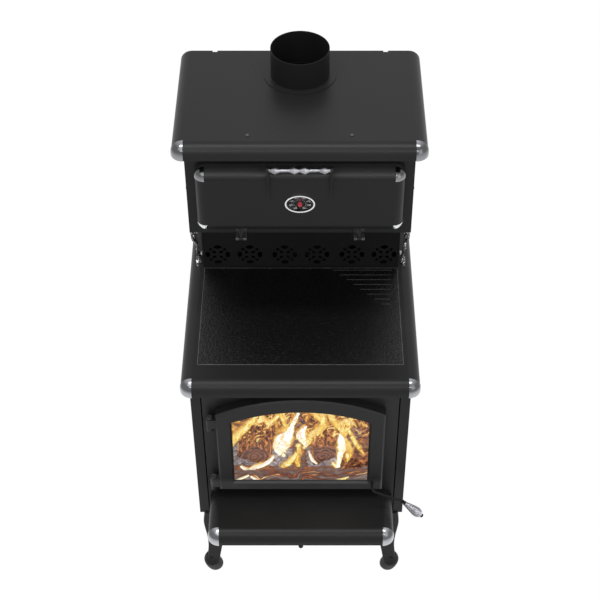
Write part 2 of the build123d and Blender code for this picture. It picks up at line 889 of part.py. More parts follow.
def coil_direction(turn, step=0.001):
    before, after = coil_point(max(turn - step, 0)), coil_point(min(turn + step, grip_turns))
    return (after - before).normalized()


def biarc(start, start_direction, end, end_direction):
    """Two arcs that leave and arrive in the given directions."""
    chord = end - start
    a = 2 * (start_direction.dot(end_direction) - 1)
    b = -2 * chord.dot(start_direction + end_direction)
    c = chord.dot(chord)
    reach = (-b - sqrt(b * b - 4 * a * c)) / (2 * a)
    first = start + start_direction * reach
    second = end - end_direction * reach
    middle = (first + second) * 0.5
    TangentArc(start, middle, tangent=start_direction)
    TangentArc(middle, end, tangent=second - first)


quarter_turns = [step / 4 for step in range(4 * grip_turns + 1)]
coil_points = [coil_point(turn) for turn in quarter_turns]
coil_directions = [coil_direction(turn) for turn in quarter_turns]
lead_in = coil_points[0] - (coil_directions[0] + grip_axis) * wire_end_bend
lead_out = coil_points[-1] + (coil_directions[-1] + grip_axis) * wire_end_bend
start_run = (lead_in - grip_origin).dot(grip_axis) - coil_start
end_run = coil_end - (lead_out - grip_origin).dot(grip_axis)
with BuildPart() as latch_grip:
    with BuildLine() as wire_line:
        Line(lead_in - grip_axis * start_run, lead_in)
        biarc(lead_in, grip_axis, coil_points[0], coil_directions[0])
        for place in range(len(coil_points) - 1):
            biarc(
                coil_points[place],
                coil_directions[place],
                coil_points[place + 1],
                coil_directions[place + 1],
            )
        biarc(coil_points[-1], coil_directions[-1], lead_out, grip_axis)
        Line(lead_out, lead_out + grip_axis * end_run)
    with BuildSketch(Plane(origin=lead_in - grip_axis * start_run, z_dir=grip_axis)):
        Circle(wire_radius)
    sweep(path=wire_line.line)

fine = [coil_point(step / 48) for step in range(48 * grip_turns + 1)]
least = min(
    (fine[i] - fine[j]).length for i in range(len(fine)) for j in range(i + 24, min(i + 72, len(fine)))
)
print(f"grip wire: {grip_turns} turns, least gap to itself {least - 2 * wire_radius:.2f} mm")

# ---------------------------------------------------------------- hearth shelf and air control
shelf_x = both_ways(shelf_width / 2)
shelf_bottom = shelf_height - edge_radius - shelf_skirt
shelf_block = tray_block(
    shelf_x, (shelf_front_y, face_y), (shelf_bottom, shelf_height), edge_radius
)
shelf_hollow = tray_block(
    both_ways(shelf_width / 2 - shelf_sheet),
    (shelf_front_y + shelf_sheet, face_y + edge_radius),
    (shelf_bottom - overcut, shelf_height - shelf_sheet),
    edge_radius - shelf_sheet,
)
with BuildPart() as hearth_shelf:
    add(shelf_block)
    add(shelf_hollow, mode=Mode.SUBTRACT)
shelf_cap_pair = tray_caps(shelf_width / 2, shelf_front_y, shelf_height, shelf_skirt)
with BuildPart() as shelf_corner_caps:
    add(shelf_cap_pair)

slide_front_y = chamber_front_y + air_travel + side_play
slide_z = (air_rod_height - slide_thickness / 2, air_rod_height + slide_thickness / 2)
intake_half = slide_width / 2 + intake_wall + side_play
intake_z = (air_rod_height - intake_height / 2, air_rod_height + intake_height / 2)
intake_rear_y = slide_front_y + slide_depth + brick
with BuildPart() as air_intake_box:
    slab(both_ways(intake_half), (chamber_front_y, intake_rear_y), intake_z)
    slab(
        both_ways(intake_half - intake_wall),
        (chamber_front_y, intake_rear_y),
        (intake_z[0] + intake_wall, intake_z[1] - intake_wall),
        mode=Mode.SUBTRACT,
    )
    for side in (-1, 1):
        runner_x = sorted((side * intake_half, side * (intake_half - 3 * intake_wall)))
        slab(
            runner_x,
            (chamber_front_y, intake_rear_y),
            (slide_z[0] - seat_gap - intake_wall, slide_z[0] - seat_gap),
        )
with BuildPart() as air_slide_plate:
    slab(both_ways(slide_width / 2), (slide_front_y, slide_front_y + slide_depth), slide_z)
knob_y = shelf_front_y + air_knob_setback
with BuildPart() as air_rod:
    rod_along(
        facing(slide_front_y), (0, air_rod_height), air_rod_radius, slide_front_y - knob_y
    )
    with BuildSketch(beside(0)):
        with Locations((knob_y, air_rod_height)):
            Circle(air_knob_radius)
        span(
            (knob_y - air_knob_radius, knob_y + air_knob_radius),
            (air_rod_height - air_knob_radius, air_rod_height),
            mode=Mode.SUBTRACT,
        )
    revolve(axis=Axis((centre_x, 0, air_rod_height), (0, 1, 0)))


# ---------------------------------------------------------------- legs
def leg_section(height, swing_x, swing_y, size, side, end, corner_y, inset=0):
    """Square of one leg section, placed by its outer corner, in a sketch of its own."""
    corner = (leg_corner_x + swing_x - inset, corner_y + end * (swing_y - inset))
    centre = (side * (corner[0] - size / 2), corner[1] - end * size / 2)
    with BuildSketch(level(height)) as section:
        with Locations(centre):
            Rectangle(size, size)
        fillet(section.vertices(), leg_wall / 2)
    return section.sketch


def cabriole_leg(side, end, corner_y):
    """Cast leg: two curved walls that meet at the outer corner, on a solid foot."""
    loft_height = leg_height - leg_top_plate
    foot = (side * (leg_corner_x - foot_centre[0]), corner_y + end * foot_centre[1])
    with BuildPart() as leg:
        loft(
            [
                leg_section(share * loft_height, swing_x, swing_y, size, side, end, corner_y)
                for share, swing_x, swing_y, size in leg_profile
            ]
        )
        loft(
            [
                leg_section(
                    share * loft_height, swing_x, swing_y, size, side, end, corner_y, leg_wall
                )
                for share, swing_x, swing_y, size in leg_profile
            ],
            mode=Mode.SUBTRACT,
        )
        top_size = leg_profile[0][3]
        plate_centre = (side * (leg_corner_x - top_size / 2), corner_y - end * top_size / 2)
        with BuildSketch(level(loft_height)):
            with Locations(plate_centre):
                Rectangle(top_size, top_size)
                Circle(leg_bolt_radius + seat_gap, mode=Mode.SUBTRACT)
        extrude(amount=leg_top_plate)
        for height, radius, shift in foot_rings:
            with BuildSketch(level(height)):
                with Locations((foot[0] + side * shift, foot[1])):
                    Circle(radius)
        loft()
    return leg.part


leg_shapes = {
    (side, place): cabriole_leg(side, end, leg_corners[place])
    for side in (-1, 1)
    for end, place in ((-1, "front"), (1, "rear"))
}
with BuildPart() as leg_front_left:
    add(leg_shapes[-1, "front"])
with BuildPart() as leg_front_right:
    add(leg_shapes[1, "front"])
with BuildPart() as leg_rear_left:
    add(leg_shapes[-1, "rear"])
with BuildPart() as leg_rear_right:
    add(leg_shapes[1, "rear"])

bolt_seat = leg_height - leg_top_plate
with BuildPart() as leg_bolts:
    with BuildSketch(level(bolt_seat)):
        with Locations(leg_bolt_spots):
            Circle(leg_bolt_radius)
    extrude(amount=leg_top_plate + base_steel)
    with BuildSketch(level(bolt_seat)):
        with Locations(leg_bolt_spots):
            RegularPolygon(leg_bolt_head, 6)
    extrude(amount=-leg_bolt_head_height)

# ---------------------------------------------------------------- back panel and flue casing
half_panel = back_panel_width / 2
casing_rear_y = panel_rear_y - panel_sheet
with BuildPart() as back_panel:
    with BuildSketch(level(cooktop_height)):
        span(both_ways(half_panel), (back_panel_y, casing_rear_y))
        span(
            both_ways(half_panel - panel_sheet),
            (back_panel_y + panel_sheet, casing_rear_y),
            mode=Mode.SUBTRACT,
        )
    extrude(amount=cabinet_floor_height - cooktop_height)
    with BuildSketch(facing(back_panel_y)):
        for spot in (*rosette_spots, *[-x for x in rosette_spots]):
            with Locations((spot, cooktop_height + rosette_height)):
                with PolarLocations(rosette_radius - rosette_oval[0], 4):
                    Ellipse(*rosette_oval)
                with PolarLocations(rosette_radius - rosette_corner, 4, start_angle=45):
                    RegularPolygon(rosette_corner, 3)
                with PolarLocations(rosette_inner, 4, start_angle=45):
                    Ellipse(*rosette_petal)
    extrude(amount=-panel_sheet, mode=Mode.SUBTRACT)
with BuildPart() as flue_rear_cover:
    slab(
        both_ways(half_panel - panel_sheet),
        (casing_rear_y - panel_sheet, casing_rear_y),
        (cooktop_height, cabinet_floor_height),
    )
with BuildPart() as flue_duct:
    with BuildSketch(level(frame_top)):
        with Locations((0, flue_y)):
            Circle(flue_radius)
            Circle(flue_bore - flue_step, mode=Mode.SUBTRACT)
    extrude(amount=collar_bottom - frame_top)
with BuildPart() as flue_collar:
    with BuildSketch(level(collar_bottom)):
        with Locations((0, flue_y)):
            Circle(flue_radius)
            Circle(flue_bore, mode=Mode.SUBTRACT)
    extrude(amount=flue_height - collar_bottom)
with BuildPart() as flue_ring:
    with BuildSketch(level(cover_height)):
        with Locations((0, flue_y)):
            Circle(flue_ring_radius)
            Circle(flue_radius + seat_gap, mode=Mode.SUBTRACT)
    extrude(amount=flue_ring_thickness)

# ---------------------------------------------------------------- cabinet and cover
oven_x = both_ways(oven_width / 2)
oven_z = (oven_floor_height, oven_floor_height + oven_opening_height)
cabinet_inner_y = cabinet_front_y + cabinet_sheet
cover_screw_spots = [
    (side * cover_screw_x, cooktop_front_y + cover_setback + cover_screw_setback)
    for side in (-1, 1)
]
with BuildPart() as cabinet_shell:
    slab(
        both_ways(half_cabinet),
        (cabinet_front_y, cabinet_rear_y),
        (cabinet_floor_height, cabinet_top),
    )
    slab(
        both_ways(half_cabinet - cabinet_sheet),
        (cabinet_inner_y, cabinet_rear_y - cabinet_sheet),
        (cabinet_floor_height + cabinet_sheet, cabinet_top),
        mode=Mode.SUBTRACT,
    )
    slab(oven_x, (cabinet_front_y, cabinet_inner_y), oven_z, mode=Mode.SUBTRACT)
    rod_along(
        level(cabinet_floor_height),
        (0, flue_y),
        flue_radius + side_play,
        cabinet_sheet,
        mode=Mode.SUBTRACT,
    )
    slab(
        both_ways(cover_screw_x + cabinet_flange),
        (cabinet_front_y - cabinet_flange, cabinet_inner_y),
        (cabinet_top - cabinet_sheet, cover_underside),
    )
    with BuildSketch(level(cover_underside)):
        with Locations(cover_screw_spots):
            Circle(screw_radius + seat_gap)
    extrude(amount=-cover_seat - cabinet_sheet, mode=Mode.SUBTRACT)
    rod_along(
        beside(-half_cabinet),
        (cabinet_front_y + cabinet_bolt_setback, cabinet_bolt_height),
        screw_radius + seat_gap,
        cabinet_width,
        mode=Mode.SUBTRACT,
    )

cover_lip = cover_height - edge_radius - cover_skirt
cover_front_y = cooktop_front_y + cover_setback
cover_block = tray_block(
    both_ways(half_top), (cover_front_y, rear_y), (cover_lip, cover_height), edge_radius
)
cover_hollow = tray_block(
    both_ways(half_top - cover_sheet),
    (cover_front_y + cover_sheet, rear_y + edge_radius),
    (cover_lip - overcut, cover_underside),
    edge_radius - cover_sheet,
)
with BuildPart() as cabinet_cover:
    add(cover_block)
    add(cover_hollow, mode=Mode.SUBTRACT)
    with BuildSketch(level(cover_height)):
        with Locations((0, flue_y)):
            Circle(flue_radius + seat_gap)
        with Locations(cover_screw_spots):
            Circle(screw_radius + seat_gap)
        with Locations((-cover_notch_x, rear_y), (cover_notch_x, rear_y)):
            Rectangle(cover_notch[0], 2 * cover_notch[1])
    extrude(amount=-cover_sheet, mode=Mode.SUBTRACT)
cover_cap_pair = tray_caps(half_top, cover_front_y, cover_height, cover_skirt)
with BuildPart() as cover_corner_caps:
    add(cover_cap_pair)

with BuildPart() as cabinet_screws:
    with BuildSketch(level(cover_height)):
        with Locations(cover_screw_spots):
            Circle(screw_radius)
    extrude(amount=cabinet_top - cabinet_sheet - cover_height)
    with BuildSketch(level(cover_height)):
        with Locations(cover_screw_spots):
            Circle(screw_head_radius)
    extrude(amount=screw_head_height)
    for side in (-1, 1):
        bolt_spot = (cabinet_front_y + cabinet_bolt_setback, cabinet_bolt_height)
        rod_along(beside(side * half_cabinet), bolt_spot, screw_radius, -side * cabinet_sheet)
        rod_along(
            beside(side * half_cabinet), bolt_spot, screw_head_radius, side * screw_head_height
        )

# ---------------------------------------------------------------- oven and rack
oven_rear_y = cabinet_inner_y + oven_depth
rail_z = (oven_z[0] + rack_rail_height - oven_sheet, oven_z[0] + rack_rail_height)
with BuildPart() as oven_box:
    slab(
        both_ways(oven_width / 2 + oven_sheet),
        (cabinet_inner_y, oven_rear_y),
        (oven_z[0] - oven_sheet, oven_z[1] + oven_sheet),
    )
    slab(oven_x, (cabinet_inner_y, oven_rear_y - oven_sheet), oven_z, mode=Mode.SUBTRACT)
    for side in (-1, 1):
        slab(
            sorted((side * oven_x[1], side * (oven_x[1] - rack_rail))),
            (cabinet_inner_y, oven_rear_y - oven_sheet),
            rail_z,
        )

rack_half = oven_width / 2 - 2 * rack_wire
rack_y = (cabinet_inner_y + rack_wire, oven_rear_y - oven_sheet - rack_wire)
rack_z = rail_z[1] + rack_wire
bar_run = rack_y[1] - rack_y[0] - 2 * rack_wire
with BuildPart() as oven_rack:
    for row_y in (rack_y[0] + rack_wire, rack_y[1] - rack_wire):
        rod_along(beside(-rack_half), (row_y, rack_z), rack_wire, 2 * rack_half)
    for bar in range(rack_bars):
        bar_x = (2 * bar / (rack_bars - 1) - 1) * (rack_half - rack_wire)
        rod_along(facing(rack_y[1] - rack_wire), (bar_x, rack_z), rack_wire * 0.9, bar_run)

# ---------------------------------------------------------------- oven door
half_door = oven_door_width / 2
door_z = (oven_door_bottom, oven_door_top)
pan_outer = pan_block(
    both_ways(half_door), (oven_door_front_y, oven_door_back_y), door_z, oven_edge_radius
)
pan_inner = pan_block(
    both_ways(half_door - oven_door_sheet),
    (oven_door_front_y + oven_door_sheet, oven_door_back_y + oven_edge_radius),
    (door_z[0] + oven_door_sheet, door_z[1] - oven_door_sheet),
    oven_edge_radius - oven_door_sheet,
)
liner_block = pan_block(
    both_ways(half_door - oven_door_sheet - seat_gap),
    (oven_door_front_y, oven_door_back_y),
    (door_z[0] + oven_door_sheet + seat_gap, door_z[1] - oven_door_sheet - seat_gap),
    oven_edge_radius - oven_door_sheet - seat_gap,
)
gauge_spot = (0, gauge_height)
with BuildPart() as oven_door_skin:
    add(pan_outer)
    add(pan_inner, mode=Mode.SUBTRACT)
    rod_along(
        facing(oven_door_front_y + oven_door_sheet),
        gauge_spot,
        needle_shaft + side_play,
        oven_door_sheet,
        mode=Mode.SUBTRACT,
    )
with BuildPart() as oven_door_liner:
    add(liner_block)
    slab(
        both_ways(half_door),
        (oven_door_front_y - overcut, oven_door_back_y - oven_door_sheet),
        (door_z[0], door_z[1]),
        mode=Mode.SUBTRACT,
    )

ball_x = half_door - oven_edge_radius
ball_y = oven_door_front_y + oven_edge_radius
door_cap_shapes = [
    corner_cap((centre_x + side * ball_x, ball_y, ball_z), start, (0, -1, 0), oven_edge_radius)
    for side, ball_z, start in (
        (1, door_z[1] - oven_edge_radius, (1, 0, 0)),
        (-1, door_z[1] - oven_edge_radius, (0, 0, 1)),
        (-1, door_z[0] + oven_edge_radius, (-1, 0, 0)),
        (1, door_z[0] + oven_edge_radius, (0, 0, -1)),
    )
]
with BuildPart() as oven_door_corner_caps:
    add(door_cap_shapes)

strap_pad_y = oven_door_back_y - 1.5 * strap_thickness
with BuildPart() as oven_door_straps:
    for side in (-1, 1):
        with BuildSketch(beside(side * oven_hinge_x - oven_knuckle_width / 2)):
            with Locations((oven_hinge_y, oven_hinge_height)):
                Circle(oven_knuckle_radius)
        extrude(amount=oven_knuckle_width)
        with BuildSketch(beside(side * oven_hinge_x - strap_thickness)) as web:
            with Locations((oven_hinge_y, oven_hinge_height)):
                Circle(strap_thickness / 2)
            with Locations((strap_pad_y, door_z[0] - strap_thickness)):
                Circle(strap_thickness / 2)
            make_hull()
        extrude(amount=2 * strap_thickness)
        with BuildSketch(beside(side * oven_hinge_x - 2 * strap_thickness)):
            span(
                (strap_pad_y - strap_thickness, oven_door_back_y),
                (door_z[0] - strap_thickness, door_z[0]),
            )
        extrude(amount=4 * strap_thickness)
        rod_along(
            beside(side * oven_hinge_x - oven_knuckle_width / 2),
            (oven_hinge_y, oven_hinge_height),
            oven_pin_radius + running_gap,
            oven_knuckle_width,
            mode=Mode.SUBTRACT,
        )

ear_inner = oven_knuckle_width / 2 + side_play
ear_outer = ear_inner + oven_ear_width
with BuildPart() as oven_hinge_brackets:
    for side in (-1, 1):
        for hand in (-1, 1):
            ear_x = sorted((side * oven_hinge_x + hand * ear_inner, side * oven_hinge_x + hand * ear_outer))
            with BuildSketch(beside(ear_x[0])):
                with Locations((oven_hinge_y, oven_hinge_height)):
                    Circle(oven_knuckle_radius)
                span(
                    (oven_hinge_y, cabinet_front_y),
                    (cabinet_floor_height, cabinet_floor_height + strap_thickness),
                )
            extrude(amount=oven_ear_width)
        slab(
            (side * oven_hinge_x - ear_outer, side * oven_hinge_x + ear_outer),
            (cabinet_front_y - oven_sheet, cabinet_front_y),
            (cabinet_floor_height, cabinet_floor_height + 5 * strap_thickness),
        )
        rod_along(
            beside(side * oven_hinge_x - ear_outer),
            (oven_hinge_y, oven_hinge_height),
            oven_pin_radius + running_gap,
            2 * ear_outer,
            mode=Mode.SUBTRACT,
        )
with BuildPart() as oven_hinge_pins:
    for side in (-1, 1):
        rod_along(
            beside(side * oven_hinge_x - ear_outer),
            (oven_hinge_y, oven_hinge_height),
            oven_pin_radius,
            2 * ear_outer,
        )

# ---------------------------------------------------------------- oven handle
bar_y = oven_door_front_y - handle_reach
half_bar = handle_bar_length / 2
arm_offset = half_bar + handle_arm_width / 2
with BuildPart() as oven_handle_bar:
    with BuildSketch(facing(bar_y)):
        with BuildLine():
            profile = [(-half_bar, handle_height), (-half_bar, handle_height + handle_bar_radius)]
            for bead in handle_beads:
                profile += [
                    (bead - handle_bead_half, handle_height + handle_bar_radius),
                    (bead, handle_height + handle_bead_radius),
                    (bead + handle_bead_half, handle_height + handle_bar_radius),
                ]
            profile += [(half_bar, handle_height + handle_bar_radius), (half_bar, handle_height)]
            joined = [profile[0]] + [b for a, b in zip(profile, profile[1:]) if a != b]
            Polyline(*joined, close=True)
        make_face()
    revolve(axis=Axis((centre_x, bar_y, handle_height), (1, 0, 0)))
    rod_along(
        beside(-half_bar - handle_arm_width),
        (bar_y, handle_height),
        handle_spigot_radius,
        handle_bar_length + 2 * handle_arm_width,
    )

with BuildPart() as oven_handle_arms:
    for side in (-1, 1):
        with BuildSketch(beside(side * arm_offset - handle_arm_width / 2)):
            with Locations((bar_y, handle_height)):
                Circle(handle_eye_radius)
            with Locations((oven_door_front_y - handle_arm_thickness / 2, handle_arm_foot[1])):
                Circle(handle_arm_thickness / 2)
            make_hull()
            span((oven_door_front_y - handle_arm_thickness, oven_door_front_y), handle_arm_foot)
        extrude(amount=handle_arm_width)
        rod_along(
            beside(side * arm_offset - handle_arm_width / 2),
            (bar_y, handle_height),
            handle_spigot_radius + running_gap,
            handle_arm_width,
            mode=Mode.SUBTRACT,
        )

# ---------------------------------------------------------------- thermometer
gauge_inner = (gauge_half[0] - gauge_rim, gauge_half[1] - gauge_rim)
dial_y = oven_door_front_y - gauge_dial_thickness
glass_front_y = oven_door_front_y - gauge_depth + gauge_glass_recess
with BuildPart() as gauge_bezel:
    with BuildSketch(facing(oven_door_front_y)):
        with Locations(gauge_spot):
            Ellipse(*gauge_half)
            Ellipse(*gauge_inner, mode=Mode.SUBTRACT)
    extrude(amount=gauge_depth)
with BuildPart() as gauge_dial:
    with BuildSketch(facing(oven_door_front_y)):
        with Locations(gauge_spot):
            Ellipse(gauge_inner[0] - seat_gap, gauge_inner[1] - seat_gap)
            Circle(needle_shaft + running_gap, mode=Mode.SUBTRACT)
    extrude(amount=gauge_dial_thickness)
with BuildPart() as gauge_glass:
    with BuildSketch(facing(glass_front_y)):
        with Locations(gauge_spot):
            Ellipse(gauge_inner[0] - seat_gap, gauge_inner[1] - seat_gap)
    extrude(amount=-gauge_glass_thickness)
needle_back_y = dial_y - needle_gap
with BuildPart() as gauge_needle:
    with BuildSketch(facing(needle_back_y)):
        with Locations(gauge_spot):
            Circle(needle_hub)
            Polygon(
                (-needle_width / 2, -2 * needle_hub),
                (needle_width / 2, -2 * needle_hub),
                (needle_width / 4, needle_length),
                (-needle_width / 4, needle_length),
                align=None,
            )
    extrude(amount=needle_thickness)
    rod_along(
        facing(oven_door_front_y + oven_door_sheet),
        gauge_spot,
        needle_shaft,
        oven_door_front_y + oven_door_sheet - needle_back_y,
    )


# ---------------------------------------------------------------- scroll brackets
def stroke(points, width):
    """Band of even width along a smooth line through the points, in the current sketch."""
    with BuildLine() as line:
        Spline(*points)
    trace(line.edges(), line_width=width)


bracket_top = (cabinet_front_y, cabinet_floor_height)
bracket_rise = cabinet_floor_height - cooktop_height
bracket_run = back_panel_y + bracket_reach - cabinet_front_y


def bracket_spot(across, down):
    """Point of the bracket, as shares of its run to the rear and of its drop."""
    return bracket_top[0] + across * bracket_run, bracket_top[1] - down * bracket_rise


def scroll(turn_centre, radius, start_angle, turns, tail):
    """Points of a volute that winds out of its eye into a tail."""
    centre = bracket_spot(*turn_centre)
    steps = round(turns * 8)
    wound = [
        (
            centre[0] + radius * (0.35 + 0.65 * i / steps) * cos(radians(start_angle + 45 * i)),
            centre[1] + radius * (0.35 + 0.65 * i / steps) * sin(radians(start_angle + 45 * i)),
        )
        for i in range(steps + 1)
    ]
    return wound + [bracket_spot(*spot) for spot in tail]


def scroll_bracket(side):
    inner = half_cabinet - bracket_inset - bracket_thickness
    plane_x = inner if side > 0 else -inner - bracket_thickness
    foot_top = (cabinet_floor_height - bracket_foot_height, cabinet_floor_height)
    foot_low = (cooktop_height, cooktop_height + bracket_foot_height)
    low_y = bracket_spot(1, 1)[0]
    with BuildPart() as bracket:
        with BuildSketch(beside(plane_x)):
            stroke([bracket_spot(*spot) for spot in bracket_curve], bracket_band)
            for volute in bracket_volutes:
                stroke(scroll(*volute), bracket_band * 0.7)
            span((cabinet_front_y, cabinet_front_y + 2 * bracket_foot), foot_top)
            span((low_y - bracket_foot, low_y + bracket_foot / 2), foot_low)
        extrude(amount=bracket_thickness)
    return bracket.part


bracket_curve = ((0.03, 0.01), (0.16, 0.2), (0.38, 0.36), (0.58, 0.56), (0.74, 0.78), (0.96, 0.975))
bracket_volutes = (
    ((0.33, 0.13), 26, 200, 1.1, ((0.42, 0.3), (0.44, 0.42))),
    ((0.56, 0.37), 22, 150, 1.0, ((0.60, 0.49), (0.62, 0.6))),
    ((0.50, 0.72), 24, 20, 1.1, ((0.46, 0.58), (0.45, 0.44))),
)
bracket_shapes = [scroll_bracket(-1), scroll_bracket(1)]
with BuildPart() as scroll_brackets:
    add(bracket_shapes)

# ---------------------------------------------------------------- write one file for each piece
pieces = {
    "firebox": firebox,
    "face_plate": face_plate,
    "side_panel_left": side_panel_left,
    "side_panel_right": side_panel_right,
    "rear_shield": rear_shield,
    "base_plate": base_plate,
    "leg_front_left": leg_front_left,
    "leg_front_right": leg_front_right,
    "leg_rear_left": leg_rear_left,
    "leg_rear_right": leg_rear_right,
    "leg_bolts": leg_bolts,
    "hearth_shelf": hearth_shelf,
    "shelf_corner_caps": shelf_corner_caps,
    "cooktop_surround": cooktop_surround,
    "cooktop_corner_caps": cooktop_corner_caps,
    "cook_plate": cook_plate,
    "floor_bricks": floor_bricks,
    "side_bricks": side_bricks,
    "rear_bricks": rear_bricks,
    "baffle": baffle,
    "air_tubes": air_tubes,
    "firewood": firewood,
    "door_hinge_brackets": door_hinge_brackets,
    "door_hinge_pins": door_hinge_pins,
    "air_intake_box": air_intake_box,
    "air_slide_plate": air_slide_plate,
    "air_rod": air_rod,
    "door_frame": door_frame,
    "door_glass": door_glass,
    "glass_retainers": glass_retainers,
    "retainer_screws": retainer_screws,
    "door_gasket": door_gasket,
    "latch_rod": latch_rod,
    "latch_cam": latch_cam,
    "latch_grip": latch_grip,
    "back_panel": back_panel,
    "flue_rear_cover": flue_rear_cover,
    "flue_duct": flue_duct,
    "flue_collar": flue_collar,
    "flue_ring": flue_ring,
    "scroll_brackets": scroll_brackets,
    "cabinet_shell": cabinet_shell,
    "cabinet_cover": cabinet_cover,
    "cover_corner_caps": cover_corner_caps,
    "cabinet_screws": cabinet_screws,
    "oven_box": oven_box,
    "oven_rack": oven_rack,
    "oven_door_skin": oven_door_skin,
    "oven_door_liner": oven_door_liner,
    "oven_door_corner_caps": oven_door_corner_caps,
    "oven_door_straps": oven_door_straps,
    "oven_hinge_brackets": oven_hinge_brackets,
    "oven_hinge_pins": oven_hinge_pins,
    "oven_handle_bar": oven_handle_bar,
    "oven_handle_arms": oven_handle_arms,
    "gauge_bezel": gauge_bezel,
    "gauge_dial": gauge_dial,
    "gauge_glass": gauge_glass,
    "gauge_needle": gauge_needle,
}
os.makedirs("parts", exist_ok=True)
for piece_name, piece in pieces.items():
    piece.part.label = piece_name
    export_step(piece.part, f"parts/{piece_name}.step")
print(f"{len(pieces)} pieces written")
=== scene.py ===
# Wood cookstove: finishes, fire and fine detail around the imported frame.
import math

import bpy
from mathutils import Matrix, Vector


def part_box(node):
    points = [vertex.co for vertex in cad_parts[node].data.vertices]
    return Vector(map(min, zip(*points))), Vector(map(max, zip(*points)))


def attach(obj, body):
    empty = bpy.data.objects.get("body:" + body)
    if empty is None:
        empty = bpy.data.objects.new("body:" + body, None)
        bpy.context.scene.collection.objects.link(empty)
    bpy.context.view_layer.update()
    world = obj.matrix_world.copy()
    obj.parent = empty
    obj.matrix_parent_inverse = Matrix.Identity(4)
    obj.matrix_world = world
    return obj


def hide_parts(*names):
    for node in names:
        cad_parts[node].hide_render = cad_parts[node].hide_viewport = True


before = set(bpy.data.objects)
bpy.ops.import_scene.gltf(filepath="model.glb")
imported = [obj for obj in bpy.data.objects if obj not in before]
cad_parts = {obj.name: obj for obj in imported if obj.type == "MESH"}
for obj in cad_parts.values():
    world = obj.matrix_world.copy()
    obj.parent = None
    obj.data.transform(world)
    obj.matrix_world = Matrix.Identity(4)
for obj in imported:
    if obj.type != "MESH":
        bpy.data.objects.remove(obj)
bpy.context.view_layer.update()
panelLow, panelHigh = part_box("back_panel")
centreX = (panelLow.x + panelHigh.x) / 2  # the stove's own centre line
bpy.ops.object.select_all(action="DESELECT")
print("frame loaded:", len(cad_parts), "nodes")

view = {
    "place": (centreX + 0.024, -2.7765, 3.646),
    "pitch": 44.5,  # degrees down from level
    "lens": 84,
    "sensor": 36,
    "shift": -0.0153,
    "sight": 60,  # metres
}
bpy.ops.object.camera_add(
    location=view["place"],
    rotation=(math.radians(90 - view["pitch"]), 0, 0),
)
camera = bpy.context.object
camera.name = "photoCamera"
camera.data.lens = view["lens"]
camera.data.sensor_width = view["sensor"]
camera.data.shift_x = view["shift"]
camera.data.clip_end = view["sight"]
bpy.context.scene.camera = camera
bpy.context.scene.view_settings.view_transform = "Standard"

studio = {
    "floorSize": 40,
    "floorColour": (0.82, 0.82, 0.82, 1),
    "floorDrop": 0.0005,  # keeps the floor's face just under the feet
    "floorGlow": 0.96,  # share of the floor's own white in what the eye sees of it
    "floorWhite": 1.03,
    "skyColour": (1, 1, 1, 1),
    "skyForObject": 0.45,
    "lamps": {
        "keyLamp": {"place": (-1.6, -1.8, 4.2), "aim": (0, 0, 0.8), "size": (2.2, 2.2), "power": 38},
        "fillLamp": {"place": (2.6, -2.4, 2.6), "aim": (0, 0, 0.7), "size": (2, 2), "power": 22},
        "backLamp": {"place": (0.6, 2.6, 3.6), "aim": (0, 0, 1.2), "size": (2.4, 2.4), "power": 4},
        "frontLamp": {"place": (0, -3.7, 4.1), "aim": (0, 0, 1.3), "size": (4.5, 0.5), "power": 50},
        "topLamp": {"place": (0, -0.35, 4.6), "aim": (0, -0.1, 0), "size": (4.5, 0.5), "power": 84},
    },
}
for lampName, lamp in studio["lamps"].items():
    bpy.ops.object.light_add(type="AREA", location=lamp["place"])
    light = bpy.context.object
    light.name = lampName
    light.data.shape = "RECTANGLE"
    light.data.size, light.data.size_y = lamp["size"]
    light.data.energy = lamp["power"]
    aim = Vector(lamp["aim"]) - Vector(lamp["place"])
    light.rotation_euler = aim.to_track_quat("-Z", "Y").to_euler()


def feed(links, socket, source):
    # links an output to this socket, or sets a plain value on it
    if isinstance(source, bpy.types.NodeSocket):
        links.new(source, socket)
    else:
        socket.default_value = source


def addMath(nodes, links, operation, *sources):
    step = nodes.new("ShaderNodeMath")
    step.operation = operation
    for socket, source in zip(step.inputs, sources):
        feed(links, socket, source)
    return step.outputs[0]


def addRange(nodes, links, source, low, high):
    # 0 up to low, 1 from high on
    spread = nodes.new("ShaderNodeMapRange")
    feed(links, spread.inputs["Value"], source)
    feed(links, spread.inputs["From Min"], low)
    feed(links, spread.inputs["From Max"], high)
    return spread


def mixColours(nodes, links, share, first, second, blend="MIX"):
    mix = nodes.new("ShaderNodeMix")
    mix.data_type = "RGBA"
    mix.blend_type = blend
    feed(links, mix.inputs["Factor"], share)
    feed(links, mix.inputs["A"], first)
    feed(links, mix.inputs["B"], second)
    return mix.outputs["Result"]


def seenByEye(nodes, links):
    # 1 for what the eye sees straight on, in a mirror or through glass, else 0
    path = nodes.new("ShaderNodeLightPath").outputs
    straight = addMath(nodes, links, "MAXIMUM", path["Is Camera Ray"], path["Is Glossy Ray"])
    return addMath(nodes, links, "MAXIMUM", straight, path["Is Transmission Ray"])


